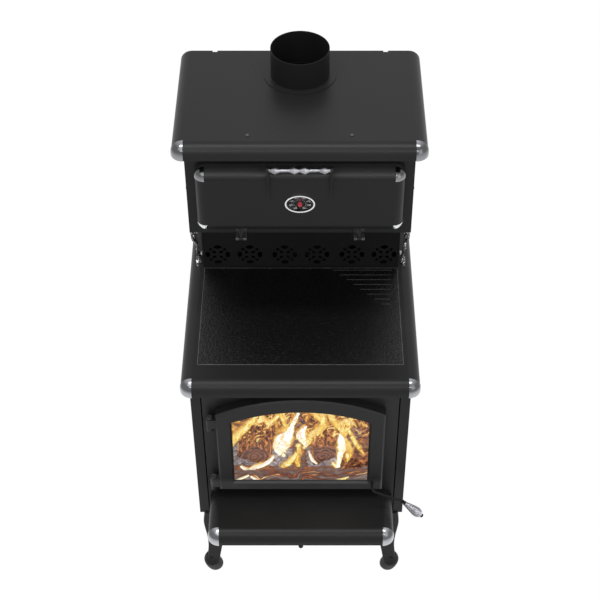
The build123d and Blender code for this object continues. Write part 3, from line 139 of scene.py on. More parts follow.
world = bpy.data.worlds.new("studioSky")
bpy.context.scene.world = world
world.use_nodes = True
worldNodes, worldLinks = world.node_tree.nodes, world.node_tree.links
worldNodes.clear()
skyOut = worldNodes.new("ShaderNodeOutputWorld")
seenSky = worldNodes.new("ShaderNodeBackground")
litSky = worldNodes.new("ShaderNodeBackground")
skyMix = worldNodes.new("ShaderNodeMixShader")
seenSky.inputs["Color"].default_value = studio["skyColour"]
litSky.inputs["Strength"].default_value = studio["skyForObject"]
worldLinks.new(seenByEye(worldNodes, worldLinks), skyMix.inputs["Fac"])
worldLinks.new(litSky.outputs[0], skyMix.inputs[1])
worldLinks.new(seenSky.outputs[0], skyMix.inputs[2])
worldLinks.new(skyMix.outputs[0], skyOut.inputs["Surface"])

bpy.ops.mesh.primitive_plane_add(size=studio["floorSize"], location=(0, 0, -studio["floorDrop"]))
floor = bpy.context.object
floor.name = "studioFloor"
floorFinish = bpy.data.materials.new("floorFinish")
floorFinish.use_nodes = True
nodes, links = floorFinish.node_tree.nodes, floorFinish.node_tree.links
nodes.clear()
floorOut = nodes.new("ShaderNodeOutputMaterial")
floorDiffuse = nodes.new("ShaderNodeBsdfDiffuse")
floorDiffuse.inputs["Color"].default_value = studio["floorColour"]
floorGlow = nodes.new("ShaderNodeEmission")
floorGlow.inputs["Strength"].default_value = studio["floorWhite"]
floorMix = nodes.new("ShaderNodeMixShader")
glowShare = addMath(nodes, links, "MULTIPLY", seenByEye(nodes, links), studio["floorGlow"])
links.new(glowShare, floorMix.inputs["Fac"])
links.new(floorDiffuse.outputs[0], floorMix.inputs[1])
links.new(floorGlow.outputs[0], floorMix.inputs[2])
links.new(floorMix.outputs[0], floorOut.inputs["Surface"])
floor.data.materials.append(floorFinish)
print("camera, lamps and floor set")


def newGroup(name, inputs, outputs):
    group = bpy.data.node_groups.new(name, "ShaderNodeTree")
    for socketName, kind, value in inputs:
        socket = group.interface.new_socket(name=socketName, in_out="INPUT", socket_type=kind)
        if value is not None:
            socket.default_value = value
    for socketName, kind in outputs:
        group.interface.new_socket(name=socketName, in_out="OUTPUT", socket_type=kind)
    return group, group.nodes.new("NodeGroupInput"), group.nodes.new("NodeGroupOutput")


grainDetail = {"patches": 5, "fine": 3}


def buildGrain():
    # broad patches of two colours, a roughness that follows them and a fine grain height
    group, given, result = newGroup(
        "grain",
        [
            ("Vector", "NodeSocketVector", None),
            ("Base", "NodeSocketColor", (0.1, 0.1, 0.1, 1)),
            ("Patch", "NodeSocketColor", (0.2, 0.2, 0.2, 1)),
            ("Patch Scale", "NodeSocketFloat", 4.0),
            ("Patch Low", "NodeSocketFloat", 0.35),
            ("Patch High", "NodeSocketFloat", 0.65),
            ("Fine Scale", "NodeSocketFloat", 600.0),
            ("Roughness", "NodeSocketFloat", 0.4),
            ("Spread", "NodeSocketFloat", 0.1),
        ],
        [
            ("Color", "NodeSocketColor"),
            ("Roughness", "NodeSocketFloat"),
            ("Height", "NodeSocketFloat"),
        ],
    )
    nodes, links, given = group.nodes, group.links, given.outputs
    broad = nodes.new("ShaderNodeTexNoise")
    broad.inputs["Detail"].default_value = grainDetail["patches"]
    links.new(given["Vector"], broad.inputs["Vector"])
    links.new(given["Patch Scale"], broad.inputs["Scale"])
    patches = addRange(
        nodes, links, broad.outputs["Fac"], given["Patch Low"], given["Patch High"]
    ).outputs["Result"]
    fine = nodes.new("ShaderNodeTexNoise")
    fine.inputs["Detail"].default_value = grainDetail["fine"]
    links.new(given["Vector"], fine.inputs["Vector"])
    links.new(given["Fine Scale"], fine.inputs["Scale"])
    rough = addMath(nodes, links, "MULTIPLY_ADD", patches, given["Spread"], given["Roughness"])
    rough.node.use_clamp = True
    shade = mixColours(nodes, links, patches, given["Base"], given["Patch"])
    links.new(shade, result.inputs["Color"])
    links.new(rough, result.inputs["Roughness"])
    links.new(fine.outputs["Fac"], result.inputs["Height"])
    return group


grainGroup = buildGrain()


def colour(value):
    return (*value, 1)


def addRamp(nodes, stops):
    ramp = nodes.new("ShaderNodeValToRGB")
    elements = ramp.color_ramp.elements
    elements[0].position, elements[0].color = stops[0][0], colour(stops[0][1])
    elements[1].position, elements[1].color = stops[-1][0], colour(stops[-1][1])
    for position, value in stops[1:-1]:
        elements.new(position).color = colour(value)
    return ramp


def heightOf(nodes, links, place):
    parts = nodes.new("ShaderNodeSeparateXYZ")
    links.new(place, parts.inputs[0])
    return parts.outputs["Z"]


def paintLightByHeight(nodes, links, place, plain, finish):
    # paints light and shade into a finish: darker or lighter from the foot of a node to its top, in shares of
    # its height
    low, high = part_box(finish["tonedOver"])
    share = addRange(nodes, links, heightOf(nodes, links, place), low.z, high.z)
    lightTones = addRamp(nodes, [(position, (tone, tone, tone)) for position, tone in finish["lightTones"]])
    links.new(share.outputs["Result"], lightTones.inputs["Fac"])
    return mixColours(nodes, links, 1, plain, lightTones.outputs["Color"], "MULTIPLY")


def newMaterial(name):
    material = bpy.data.materials.new(name)
    material.use_nodes = True
    nodes, links = material.node_tree.nodes, material.node_tree.links
    return material, nodes, links, nodes["Principled BSDF"]


def addBump(nodes, links, height, look, surface):
    bump = nodes.new("ShaderNodeBump")
    bump.inputs["Strength"].default_value = look["bump"]
    bump.inputs["Distance"].default_value = look["bumpDepth"]
    links.new(height, bump.inputs["Height"])
    links.new(bump.outputs["Normal"], surface.inputs["Normal"])


# what a finish has where its own entry does not say
usualFinish = {
    "patchScale": 4, "patchLow": 0.35, "patchHigh": 0.65, "fineScale": 600, "spread": 0.08,
    "bump": 0.1, "bumpDepth": 0.0005, "metallic": 0, "specular": 0.5,
}
grainValues = {
    "Patch Scale": "patchScale", "Patch Low": "patchLow", "Patch High": "patchHigh",
    "Fine Scale": "fineScale", "Roughness": "roughness", "Spread": "spread",
}


def grainMaterial(name, ownFinish):
    finish = {**usualFinish, **ownFinish}
    material, nodes, links, surface = newMaterial(name)
    place = nodes.new("ShaderNodeTexCoord").outputs["Object"]
    grain = nodes.new("ShaderNodeGroup")
    grain.node_tree = grainGroup
    links.new(place, grain.inputs["Vector"])
    grain.inputs["Base"].default_value = colour(finish["base"])
    grain.inputs["Patch"].default_value = colour(finish["patch"])
    for socketName, value in grainValues.items():
        grain.inputs[socketName].default_value = finish[value]
    shade = grain.outputs["Color"]
    # painted light and shade by height, for the finishes that list it
    if "lightTones" in finish:
        shade = paintLightByHeight(nodes, links, place, shade, finish)
    links.new(shade, surface.inputs["Base Color"])
    links.new(grain.outputs["Roughness"], surface.inputs["Roughness"])
    addBump(nodes, links, grain.outputs["Height"], finish, surface)
    surface.inputs["Metallic"].default_value = finish["metallic"]
    surface.inputs["Specular IOR Level"].default_value = finish["specular"]
    return material


capNickel = {
    "base": (0.84, 0.85, 0.9), "patch": (0.94, 0.95, 1), "patchScale": 45,
    "fineScale": 500, "roughness": 0.15, "spread": 0.08, "bump": 0.05, "metallic": 1,
}
finishes = {
    "blackPaint": {
        "base": (0.0095, 0.0095, 0.0098), "patch": (0.012, 0.012, 0.0122), "patchScale": 2.2,
        "fineScale": 900, "roughness": 0.34, "spread": 0.05, "bump": 0.1, "specular": 0.17,
    },
    # the oven door: black paint with its top band painted lighter, a painted highlight on the rounded top
    # edge that the cover's overhang keeps in shade
    "ovenDoorTopHighlight": {
        "base": (0.04, 0.04, 0.041), "patch": (0.05, 0.05, 0.051), "patchScale": 2.2,
        "fineScale": 900, "roughness": 0.34, "spread": 0.05, "bump": 0.1, "specular": 0.17,
        "tonedOver": "oven_door_skin",
        "lightTones": ((0, 0.24), (0.9, 0.24), (0.955, 0.8), (1, 1)),
    },
    "flueBlack": {
        "base": (0.005, 0.005, 0.005), "patch": (0.007, 0.007, 0.007), "patchScale": 5,
        "fineScale": 700, "roughness": 0.55, "spread": 0.1, "bump": 0.1, "specular": 0.15,
    },
    "castBlack": {
        "base": (0.013, 0.013, 0.0133), "patch": (0.017, 0.017, 0.0172), "patchScale": 6,
        "fineScale": 420, "roughness": 0.45, "spread": 0.08, "bump": 0.25, "specular": 0.22,
    },
    # the legs: painted light and shade by height, the foot's front band lighter as if lit and a dark band of
    # painted shadow above it
    "legLightAndShade": {
        "base": (0.06, 0.06, 0.061), "patch": (0.1, 0.1, 0.101), "patchScale": 120,
        "fineScale": 420, "roughness": 0.45, "spread": 0.08, "bump": 0.3, "specular": 0.22,
        "tonedOver": "leg_front_left",
        "lightTones": ((0, 0.75), (0.12, 0.75), (0.15, 0.06), (0.19, 0.06), (0.27, 0.2), (1, 0.2)),
    },
    # the door frame: its lower bar painted lighter than the rest, painted light
    "frameLitLowerBar": {
        "base": (0.041, 0.041, 0.0415), "patch": (0.052, 0.052, 0.0525), "patchScale": 6,
        "fineScale": 420, "roughness": 0.45, "spread": 0.08, "bump": 0.25, "specular": 0.22,
        "tonedOver": "door_frame", "lightTones": ((0, 1), (0.08, 1), (0.14, 0.32), (1, 0.3)),
    },
    # a dark grey, lighter than the black paint, for hinges, pins and screws
    "hingeGrey": {
        "base": (0.03, 0.03, 0.031), "patch": (0.06, 0.06, 0.062), "patchScale": 90,
        "fineScale": 500, "roughness": 0.4, "spread": 0.1, "bump": 0.3, "specular": 0.4,
    },
    "plateBlack": {
        "base": (0.0028, 0.0028, 0.0028), "patch": (0.0035, 0.0035, 0.0035), "patchScale": 300,
        "fineScale": 240, "roughness": 0.24, "spread": 0.04, "bump": 0.8, "bumpDepth": 0.002,
        "specular": 0.42,
    },
    # a lighter grey for the painted highlight lines on the cook plate
    "glintPaint": {
        "base": (0.06, 0.06, 0.061), "patch": (0.1, 0.1, 0.102), "patchScale": 40,
        "fineScale": 700, "roughness": 0.5, "spread": 0.1, "bump": 0.1,
    },
    # the nickel caps: painted reflections by height, lighter low down as if mirroring the pale floor and
    # darker on top as if mirroring a dark room
    "cooktopCap": {
        **capNickel, "tonedOver": "cooktop_corner_caps",
        "lightTones": ((0, 0.55), (0.36, 0.42), (0.55, 0.12), (0.8, 0.12), (1, 0.4)),
    },
    "coverCap": {
        **capNickel, "tonedOver": "cover_corner_caps",
        "lightTones": ((0, 0.4), (0.36, 0.28), (0.55, 0.11), (0.8, 0.11), (1, 0.35)),
    },
    "shelfCap": {
        **capNickel, "roughness": 0.16, "tonedOver": "shelf_corner_caps",
        "lightTones": ((0, 0.65), (0.42, 0.5), (0.6, 0.14), (0.82, 0.15), (1, 0.45)),
    },
    "ovenDoorCap": {
        **capNickel, "base": (0.84, 0.85, 0.88), "patch": (0.94, 0.95, 0.98), "roughness": 0.18,
        "tonedOver": "oven_door_corner_caps",
        "lightTones": ((0, 0.95), (0.13, 0.85), (0.86, 0.34), (0.9, 0.28), (0.94, 0.1), (1, 0.13)),
    },
    "nickel": {
        "base": (0.34, 0.34, 0.37), "patch": (0.5, 0.5, 0.53), "patchScale": 40,
        "fineScale": 500, "roughness": 0.18, "spread": 0.08, "bump": 0.05, "metallic": 1,
    },
    # the scroll brackets: near-black nickel with bright speckles, painted glints along the scrolls
    "scrollNickel": {
        "base": (0.05, 0.05, 0.053), "patch": (0.62, 0.62, 0.65), "patchScale": 150,
        "patchLow": 0.42, "patchHigh": 0.66, "fineScale": 260, "roughness": 0.2, "spread": 0.05,
        "bump": 0.6, "bumpDepth": 0.003, "metallic": 1,
    },
    "barNickel": {
        "base": (0.24, 0.24, 0.255), "patch": (0.4, 0.4, 0.42), "patchScale": 60,
        "fineScale": 500, "roughness": 0.27, "spread": 0.08, "bump": 0.05, "metallic": 1,
    },
    "brightNickel": {
        "base": (0.72, 0.72, 0.74), "patch": (0.82, 0.82, 0.83), "patchScale": 60,
        "fineScale": 500, "roughness": 0.22, "spread": 0.06, "bump": 0.04, "metallic": 1,
    },
    "steel": {
        "base": (0.4, 0.4, 0.41), "patch": (0.5, 0.5, 0.5), "patchScale": 40,
        "fineScale": 700, "roughness": 0.32, "spread": 0.1, "bump": 0.08, "metallic": 1,
    },
    "rearZinc": {
        "base": (0.1, 0.1, 0.103), "patch": (0.15, 0.15, 0.153), "patchScale": 26,
        "fineScale": 500, "roughness": 0.46, "spread": 0.1, "bump": 0.08, "metallic": 1,
    },
    "firebrick": {
        "base": (0.42, 0.25, 0.13), "patch": (0.62, 0.42, 0.25), "patchScale": 12,
        "fineScale": 260, "roughness": 0.9, "spread": 0.06, "bump": 0.5, "bumpDepth": 0.002,
        "specular": 0.2,
    },
    "ropeGasket": {
        "base": (0.03, 0.03, 0.03), "patch": (0.06, 0.06, 0.06), "patchScale": 220,
        "fineScale": 900, "roughness": 0.9, "bump": 0.6, "bumpDepth": 0.001,
    },
    "dialBlack": {
        "base": (0.004, 0.005, 0.005), "patch": (0.007, 0.008, 0.008), "patchScale": 60,
        "roughness": 0.6, "bump": 0.05, "specular": 0.2,
    },
    "redEnamel": {
        "base": (0.3, 0.006, 0.014), "patch": (0.42, 0.01, 0.02), "patchScale": 80,
        "roughness": 0.35, "bump": 0.05,
    },
    "crimson": {
        "base": (0.16, 0.004, 0.012), "patch": (0.42, 0.012, 0.03), "patchScale": 420,
        "roughness": 0.45, "bump": 0.05,
    },
    "markWhite": {
        "base": (0.45, 0.45, 0.44), "patch": (0.55, 0.55, 0.54), "patchScale": 200,
        "roughness": 0.5, "bump": 0.05,
    },
}
materials = {name: grainMaterial(name, finish) for name, finish in finishes.items()}

glassLooks = {
    "doorGlass": {"tint": (1, 0.99, 0.97), "ior": 1.18},
    "gaugeGlass": {"tint": (1, 1, 1), "ior": 1.1},
}
for name, glass in glassLooks.items():
    materials[name], nodes, links, surface = newMaterial(name)
    surface.inputs["Base Color"].default_value = colour(glass["tint"])
    surface.inputs["Roughness"].default_value = 0
    surface.inputs["Transmission Weight"].default_value = 1
    surface.inputs["IOR"].default_value = glass["ior"]

nodeFinishes = {
    "legLightAndShade": "leg_front_left leg_front_right leg_rear_left leg_rear_right",
    "frameLitLowerBar": "door_frame",
    "ovenDoorTopHighlight": "oven_door_skin",
    "castBlack": "face_plate baffle door_hinge_brackets retainer_screws",
    "hingeGrey": "oven_hinge_brackets oven_hinge_pins door_hinge_pins cabinet_screws",
    "flueBlack": "flue_collar flue_duct latch_rod",
    "plateBlack": "cook_plate",
    "cooktopCap": "cooktop_corner_caps",
    "coverCap": "cover_corner_caps",
    "shelfCap": "shelf_corner_caps",
    "ovenDoorCap": "oven_door_corner_caps",
    "nickel": "latch_grip",
    "scrollNickel": "scroll_brackets",
    "barNickel": "oven_handle_bar",
    "brightNickel": "gauge_bezel",
    "steel": "leg_bolts air_tubes air_intake_box oven_rack oven_box oven_door_liner"
    " latch_cam air_slide_plate glass_retainers",
    "rearZinc": "flue_rear_cover",
    "firebrick": "floor_bricks side_bricks rear_bricks",
    "ropeGasket": "door_gasket",
    "dialBlack": "gauge_dial",
    "redEnamel": "gauge_needle",
    "doorGlass": "door_glass",
    "gaugeGlass": "gauge_glass",
}


def paint(piece, finishName):
    piece.data.materials.clear()
    piece.data.materials.append(materials[finishName])


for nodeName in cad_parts:
    paint(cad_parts[nodeName], "blackPaint")
for finishName, members in nodeFinishes.items():
    for nodeName in members.split():
        paint(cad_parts[nodeName], finishName)
print("finishes set:", len(materials))


def selectOnly(piece):
    bpy.ops.object.select_all(action="DESELECT")
    piece.select_set(True)
    bpy.context.view_layer.objects.active = piece


def applyModifiers(piece):
    selectOnly(piece)
    for modifier in list(piece.modifiers):
        bpy.ops.object.modifier_apply(modifier=modifier.name)


def settle(piece):
    # puts the place, turn and scale into the mesh
    selectOnly(piece)
    bpy.ops.object.transform_apply(location=True, rotation=True, scale=True)
    bpy.context.view_layer.update()


def cloudTexture(name, clouds):
    texture = bpy.data.textures.new(name, "CLOUDS")
    texture.noise_scale = clouds["lump"]
    texture.noise_depth = clouds["detail"]
    return texture


def addDisplace(piece, texture, strength, direction="NORMAL"):
    displace = piece.modifiers.new("displace", "DISPLACE")
    displace.texture = texture
    displace.strength = strength
    displace.direction = direction


def addRemesh(piece, voxel):
    remesh = piece.modifiers.new("remesh", "REMESH")
    remesh.mode = "VOXEL"
    remesh.voxel_size = voxel


def addWall(piece, thickness, offset=-1):
    wall = piece.modifiers.new("wall", "SOLIDIFY")
    wall.thickness = thickness
    wall.offset = offset


def joinPieces(parts, name):
    bpy.ops.object.select_all(action="DESELECT")
    for part in parts:
        part.select_set(True)
    bpy.context.view_layer.objects.active = parts[0]
    bpy.ops.object.join()
    piece = bpy.context.object
    piece.name = name
    return piece


def finishPiece(piece, finishName, body="stove"):
    paint(piece, finishName)
    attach(piece, body)


barCorner = {"share": 0.35, "steps": 2}  # share of the bar's least size


def roundedBar(size, place):
    bpy.ops.mesh.primitive_cube_add(size=1, location=place)
    bar = bpy.context.object
    bar.scale = size
    settle(bar)
    corner = bar.modifiers.new("corner", "BEVEL")
    corner.width = min(size) * barCorner["share"]
    corner.segments = barCorner["steps"]
    applyModifiers(bar)
    return bar


# painted highlight lines on the cook plate, lighter bars for the glints: the joint round it, one in each
# groove and the front dashes
plateLow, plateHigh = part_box("cook_plate")
plateLines = {
    "jointWidth": 0.0014, "jointGap": 0.001, "jointDepth": 0.0008,
    "grooves": 8, "spacing": 0.02, "rearMargin": 0.0084,
    "width": 0.0013, "height": 0.0008, "sunk": 0.0001,  # sunk: tops below the plate's face
    "left": 0.092, "leftStep": 0.0196, "right": 0.264, "rightStep": 0.0015,
    "dashes": (0.062, 0.081, 0.103, 0.124, 0.145), "dashLength": 0.009, "frontMargin": 0.008,
}
plateMiddle = (plateLow + plateHigh) / 2
bpy.ops.mesh.primitive_plane_add(size=1, location=(plateMiddle.x, plateMiddle.y, plateHigh.z))
plateJoint = bpy.context.object
plateJoint.scale = (
    plateHigh.x - plateLow.x + 2 * plateLines["jointGap"],
    plateHigh.y - plateLow.y + 2 * plateLines["jointGap"],
    1,
)
settle(plateJoint)
bpy.ops.object.mode_set(mode="EDIT")
bpy.ops.mesh.select_all(action="SELECT")
bpy.ops.mesh.inset(thickness=plateLines["jointWidth"])
bpy.ops.mesh.delete(type="FACE")
bpy.ops.object.mode_set(mode="OBJECT")
addWall(plateJoint, plateLines["jointDepth"])
applyModifiers(plateJoint)
glintBars = [plateJoint]
lineHeight = plateHigh.z - plateLines["height"] / 2 - plateLines["sunk"]
for row in range(plateLines["grooves"]):
    left = plateLines["left"] + row * plateLines["leftStep"]
    right = plateLines["right"] - row * plateLines["rightStep"]
    depth = plateHigh.y - plateLines["rearMargin"] - row * plateLines["spacing"]
    glintBars.append(
        roundedBar(
            (right - left, plateLines["width"], plateLines["height"]),
            (centreX + (left + right) / 2, depth, lineHeight),
        )
    )
for across in plateLines["dashes"]:
    glintBars.append(
        roundedBar(
            (plateLines["dashLength"], plateLines["width"], plateLines["height"]),
            (centreX + across, plateLow.y + plateLines["frontMargin"], lineHeight),
        )
    )
finishPiece(joinPieces(glintBars, "plateLines"), "glintPaint")
print("cook plate lines laid")

# the oven thermometer's face: numbers round it, ticks inside them and a crimson middle
dialLow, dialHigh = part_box("gauge_dial")
dial = Vector((centreX, dialLow.y, (dialLow.z + dialHigh.z) / 2))
dialFace = {
    "numbers": 8, "countBy": 100, "firstAngle": 240, "step": -43,
    "across": 0.0242, "up": 0.0182, "textSize": 0.0064, "proud": 0.0001,
    "ticks": 22, "tickSweep": 300, "tickAcross": 0.0165, "tickUp": 0.0125,
    "tickSize": (0.0018, 0.0004, 0.0006),
    "hubSides": 8, "hubAcross": 0.0064, "hubUp": 0.0092, "hubDrop": 0.0035, "hubDepth": 0.0004,
    "hubSoftness": 0.0001,
}


def aroundDial(degrees, across, up):
    angle = math.radians(degrees)
    return dial + Vector((across * math.cos(angle), 0, up * math.sin(angle)))


dialMarks = []
for index in range(dialFace["numbers"]):
    angle = dialFace["firstAngle"] + index * dialFace["step"]
    bpy.ops.object.text_add(
        location=aroundDial(angle, dialFace["across"], dialFace["up"]), rotation=(math.pi / 2, 0, 0)
    )
    number = bpy.context.object
    number.data.body = str(dialFace["countBy"] * (index + 1))
    number.data.size = dialFace["textSize"]
    number.data.align_x = "CENTER"
    number.data.align_y = "CENTER"
    number.data.extrude = dialFace["proud"]
    selectOnly(number)
    bpy.ops.object.convert(target="MESH")
    number = bpy.context.object
    settle(number)
    dialMarks.append(number)
for index in range(dialFace["ticks"]):
    angle = dialFace["firstAngle"] - index * dialFace["tickSweep"] / (dialFace["ticks"] - 1)
    place = aroundDial(angle, dialFace["tickAcross"], dialFace["tickUp"])
    bar = roundedBar(dialFace["tickSize"], (0, 0, 0))
    bar.rotation_euler = (0, -math.radians(angle), 0)
    bar.location = place
    settle(bar)
    dialMarks.append(bar)
finishPiece(joinPieces(dialMarks, "dialMarks"), "markWhite", "oven_door")
bpy.ops.mesh.primitive_circle_add(
    vertices=dialFace["hubSides"],
    radius=1,
    fill_type="NGON",
    location=dial - Vector((0, 0, dialFace["hubDrop"])),
    rotation=(math.pi / 2, 0, 0),
)
dialHub = bpy.context.object
dialHub.name = "dialHub"
dialHub.scale = (dialFace["hubAcross"], dialFace["hubUp"], 1)
settle(dialHub)
addWall(dialHub, dialFace["hubDepth"], 0)
soften = dialHub.modifiers.new("soften", "BEVEL")
soften.width = dialFace["hubSoftness"]
applyModifiers(dialHub)
finishPiece(dialHub, "crimson", "oven_door")
print("thermometer face drawn")

# everything of the fire is placed from the middle of the hearth's front edge
hearthLow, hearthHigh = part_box("floor_bricks")
hearth = Vector((centreX, hearthLow.y, hearthHigh.z))

# a log's place (across, depth, height) is from the middle of the hearth's front edge, its turn
# is from across, and its ash is how far it is grey
splitLogs = {
    "sides": 28,
    "splits": (((0, 0, -0.32), (0, 0.1, -1)), ((0, 0.34, 0), (0, 1, 0.55))),  # place, facing
    "fullness": 1.18,  # gives back some of the height that the splits take
    "stretch": 4,  # bark runs this much longer along a log than across it
    "voxel": 0.003,
    "bark": {"lump": 0.035, "detail": 2, "height": 0.011},
    "splinters": {"lump": 0.008, "detail": 3, "height": 0.004},
    "grainShift": (7, 3),  # gives each log its own stretch of the grain
    "endFacing": 0.5,  # a point that faces along the log by more than this is on a cut end
    "logs": {
        "frontLeft": {
            "at": (-0.116, 0.062, 0.026), "size": (0.19, 0.084, 0.052), "turn": 0, "roll": 8, "ash": 0.95,
        },
        "frontRight": {
            "at": (0.062, 0.062, 0.026), "size": (0.1, 0.084, 0.052), "turn": 4, "roll": -20, "ash": 1,
        },
        "cornerRight": {
            "at": (0.158, 0.056, 0.028), "size": (0.1, 0.086, 0.056), "turn": 10, "roll": -12, "ash": 0.25,
        },
        "back": {
            "at": (0, 0.182, 0.026), "size": (0.41, 0.084, 0.052), "turn": -1, "roll": 15, "ash": 0.4,
        },
        "upperLeft": {
            "at": (-0.128, 0.118, 0.08), "size": (0.2, 0.1, 0.072), "turn": 84, "roll": 12, "ash": 0,
        },
        "upperRight": {
            "at": (0.052, 0.118, 0.08), "size": (0.2, 0.096, 0.072), "turn": 97, "roll": -30, "ash": 0,
        },
    },
}


def splitLog(name, log):
    length, width, height = log["size"]
    bpy.ops.mesh.primitive_cylinder_add(
        vertices=splitLogs["sides"], radius=0.5, depth=1, rotation=(0, math.pi / 2, 0)
    )
    piece = bpy.context.object
    piece.name = name
    settle(piece)
    bpy.ops.object.mode_set(mode="EDIT")
    for splitPlace, splitFacing in splitLogs["splits"]:
        bpy.ops.mesh.select_all(action="SELECT")
        bpy.ops.mesh.bisect(plane_co=splitPlace, plane_no=splitFacing, use_fill=True, clear_outer=True)
    bpy.ops.object.mode_set(mode="OBJECT")
    piece.scale = (length / splitLogs["stretch"], width, height * splitLogs["fullness"])
    settle(piece)
    addRemesh(piece, splitLogs["voxel"])
    for direction in "YZ":
        addDisplace(piece, barkTexture, splitLogs["bark"]["height"], direction)
        addDisplace(piece, splinterTexture, splitLogs["splinters"]["height"], direction)
    applyModifiers(piece)
    piece.scale = (splitLogs["stretch"], 1, 1)
    settle(piece)
    mesh = piece.data
    for attribute, kind in (("logPlace", "FLOAT_VECTOR"), ("cutEnd", "FLOAT"), ("ashShare", "FLOAT")):
        mesh.attributes.new(attribute, kind, "POINT")
    place, cutEnd = mesh.attributes["logPlace"], mesh.attributes["cutEnd"]
    ashShare = mesh.attributes["ashShare"]
    acrossShift, depthShift = splitLogs["grainShift"]
    grainStart = Vector((log["at"][0] * acrossShift + log["at"][1] * depthShift, 0, 0))
    for index, vertex in enumerate(mesh.vertices):
        place.data[index].vector = vertex.co + grainStart
        cutEnd.data[index].value = 1 if abs(vertex.normal.x) > splitLogs["endFacing"] else 0
        ashShare.data[index].value = log["ash"]
    bpy.ops.object.shade_smooth()
    piece.rotation_euler = (math.radians(log["roll"]), 0, math.radians(log["turn"]))
    piece.location = hearth + Vector(log["at"])
    settle(piece)
    return piece


barkTexture = cloudTexture("barkLumps", splitLogs["bark"])
splinterTexture = cloudTexture("splinters", splitLogs["splinters"])
burningLogs = joinPieces([splitLog(name, log) for name, log in splitLogs["logs"].items()], "burningLogs")
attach(burningLogs, "stove")
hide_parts("firewood")
print("logs split and laid")

# a bed of coals over the hearth, a low bank of ash on its front edge and the bank's foot
emberBed = {
    "bed": {"at": (0, 0.158, 0.01), "size": (0.47, 0.3, 0.018)},
    "bank": {"at": (0, 0.006, 0.031), "size": (0.4, 0.036, 0.009)},
    "foot": {"at": (0, 0.016, 0.015), "size": (0.4, 0.024, 0.026)},
    "voxel": 0.0042,
    "lumps": {"lump": 0.018, "detail": 2, "height": 0.01},
}
bedParts = []
for part in ("bed", "bank", "foot"):
    bpy.ops.mesh.primitive_cube_add(size=1)
    lump = bpy.context.object
    lump.scale = emberBed[part]["size"]
    lump.location = hearth + Vector(emberBed[part]["at"])
    settle(lump)
    bedParts.append(lump)
embers = joinPieces(bedParts, "emberBed")
addRemesh(embers, emberBed["voxel"])
addDisplace(embers, cloudTexture("emberLumps", emberBed["lumps"]), emberBed["lumps"]["height"])
applyModifiers(embers)
bpy.ops.object.shade_smooth()
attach(embers, "stove")

streakNoise = {
    "warpDetail": 2,
    "middle": (0.5, 0.5, 0.5),  # of the noise that warps, so that it pushes both ways
    "scale": 1,
    "roughness": 0.55,
    "low": 0.3, "high": 0.7,  # spread over the whole of 0 to 1
}


def buildStreaks():
    # long warped strokes, as flames and wood grain have
    group, given, result = newGroup(
        "streaks",
        [
            ("Vector", "NodeSocketVector", None),
            ("Stretch", "NodeSocketVector", (30, 30, 8)),
            ("Warp", "NodeSocketFloat", 0.3),
            ("Warp Scale", "NodeSocketFloat", 12.0),
            ("Detail", "NodeSocketFloat", 2.0),
        ],
        [("Value", "NodeSocketFloat")],
    )
    nodes, links = group.nodes, group.links
    warp = nodes.new("ShaderNodeTexNoise")
    warp.inputs["Detail"].default_value = streakNoise["warpDetail"]
    links.new(given.outputs["Vector"], warp.inputs["Vector"])
    links.new(given.outputs["Warp Scale"], warp.inputs["Scale"])
    centred = nodes.new("ShaderNodeVectorMath")
    centred.operation = "SUBTRACT"
    centred.inputs[1].default_value = streakNoise["middle"]
    links.new(warp.outputs["Color"], centred.inputs[0])
    bent = nodes.new("ShaderNodeVectorMath")
    bent.operation = "SCALE"
    links.new(centred.outputs[0], bent.inputs[0])
    links.new(given.outputs["Warp"], bent.inputs["Scale"])
    moved = nodes.new("ShaderNodeVectorMath")
    links.new(given.outputs["Vector"], moved.inputs[0])
    links.new(bent.outputs[0], moved.inputs[1])
    stretched = nodes.new("ShaderNodeVectorMath")
    stretched.operation = "MULTIPLY"
    links.new(moved.outputs[0], stretched.inputs[0])
    links.new(given.outputs["Stretch"], stretched.inputs[1])
    strokes = nodes.new("ShaderNodeTexNoise")
    strokes.inputs["Scale"].default_value = streakNoise["scale"]
    strokes.inputs["Roughness"].default_value = streakNoise["roughness"]
    links.new(given.outputs["Detail"], strokes.inputs["Detail"])
    links.new(stretched.outputs[0], strokes.inputs["Vector"])
    spread = addRange(nodes, links, strokes.outputs["Fac"], streakNoise["low"], streakNoise["high"])
    links.new(spread.outputs["Result"], result.inputs["Value"])
    return group


streaksGroup = buildStreaks()
streakValues = {"Stretch": "stretch", "Warp": "warp", "Warp Scale": "warpScale", "Detail": "detail"}


def addStreaks(nodes, links, place, look):
    streaks = nodes.new("ShaderNodeGroup")
    streaks.node_tree = streaksGroup
    for socketName, value in streakValues.items():
        streaks.inputs[socketName].default_value = look[value]
    links.new(place, streaks.inputs["Vector"])
    return streaks.outputs["Value"]


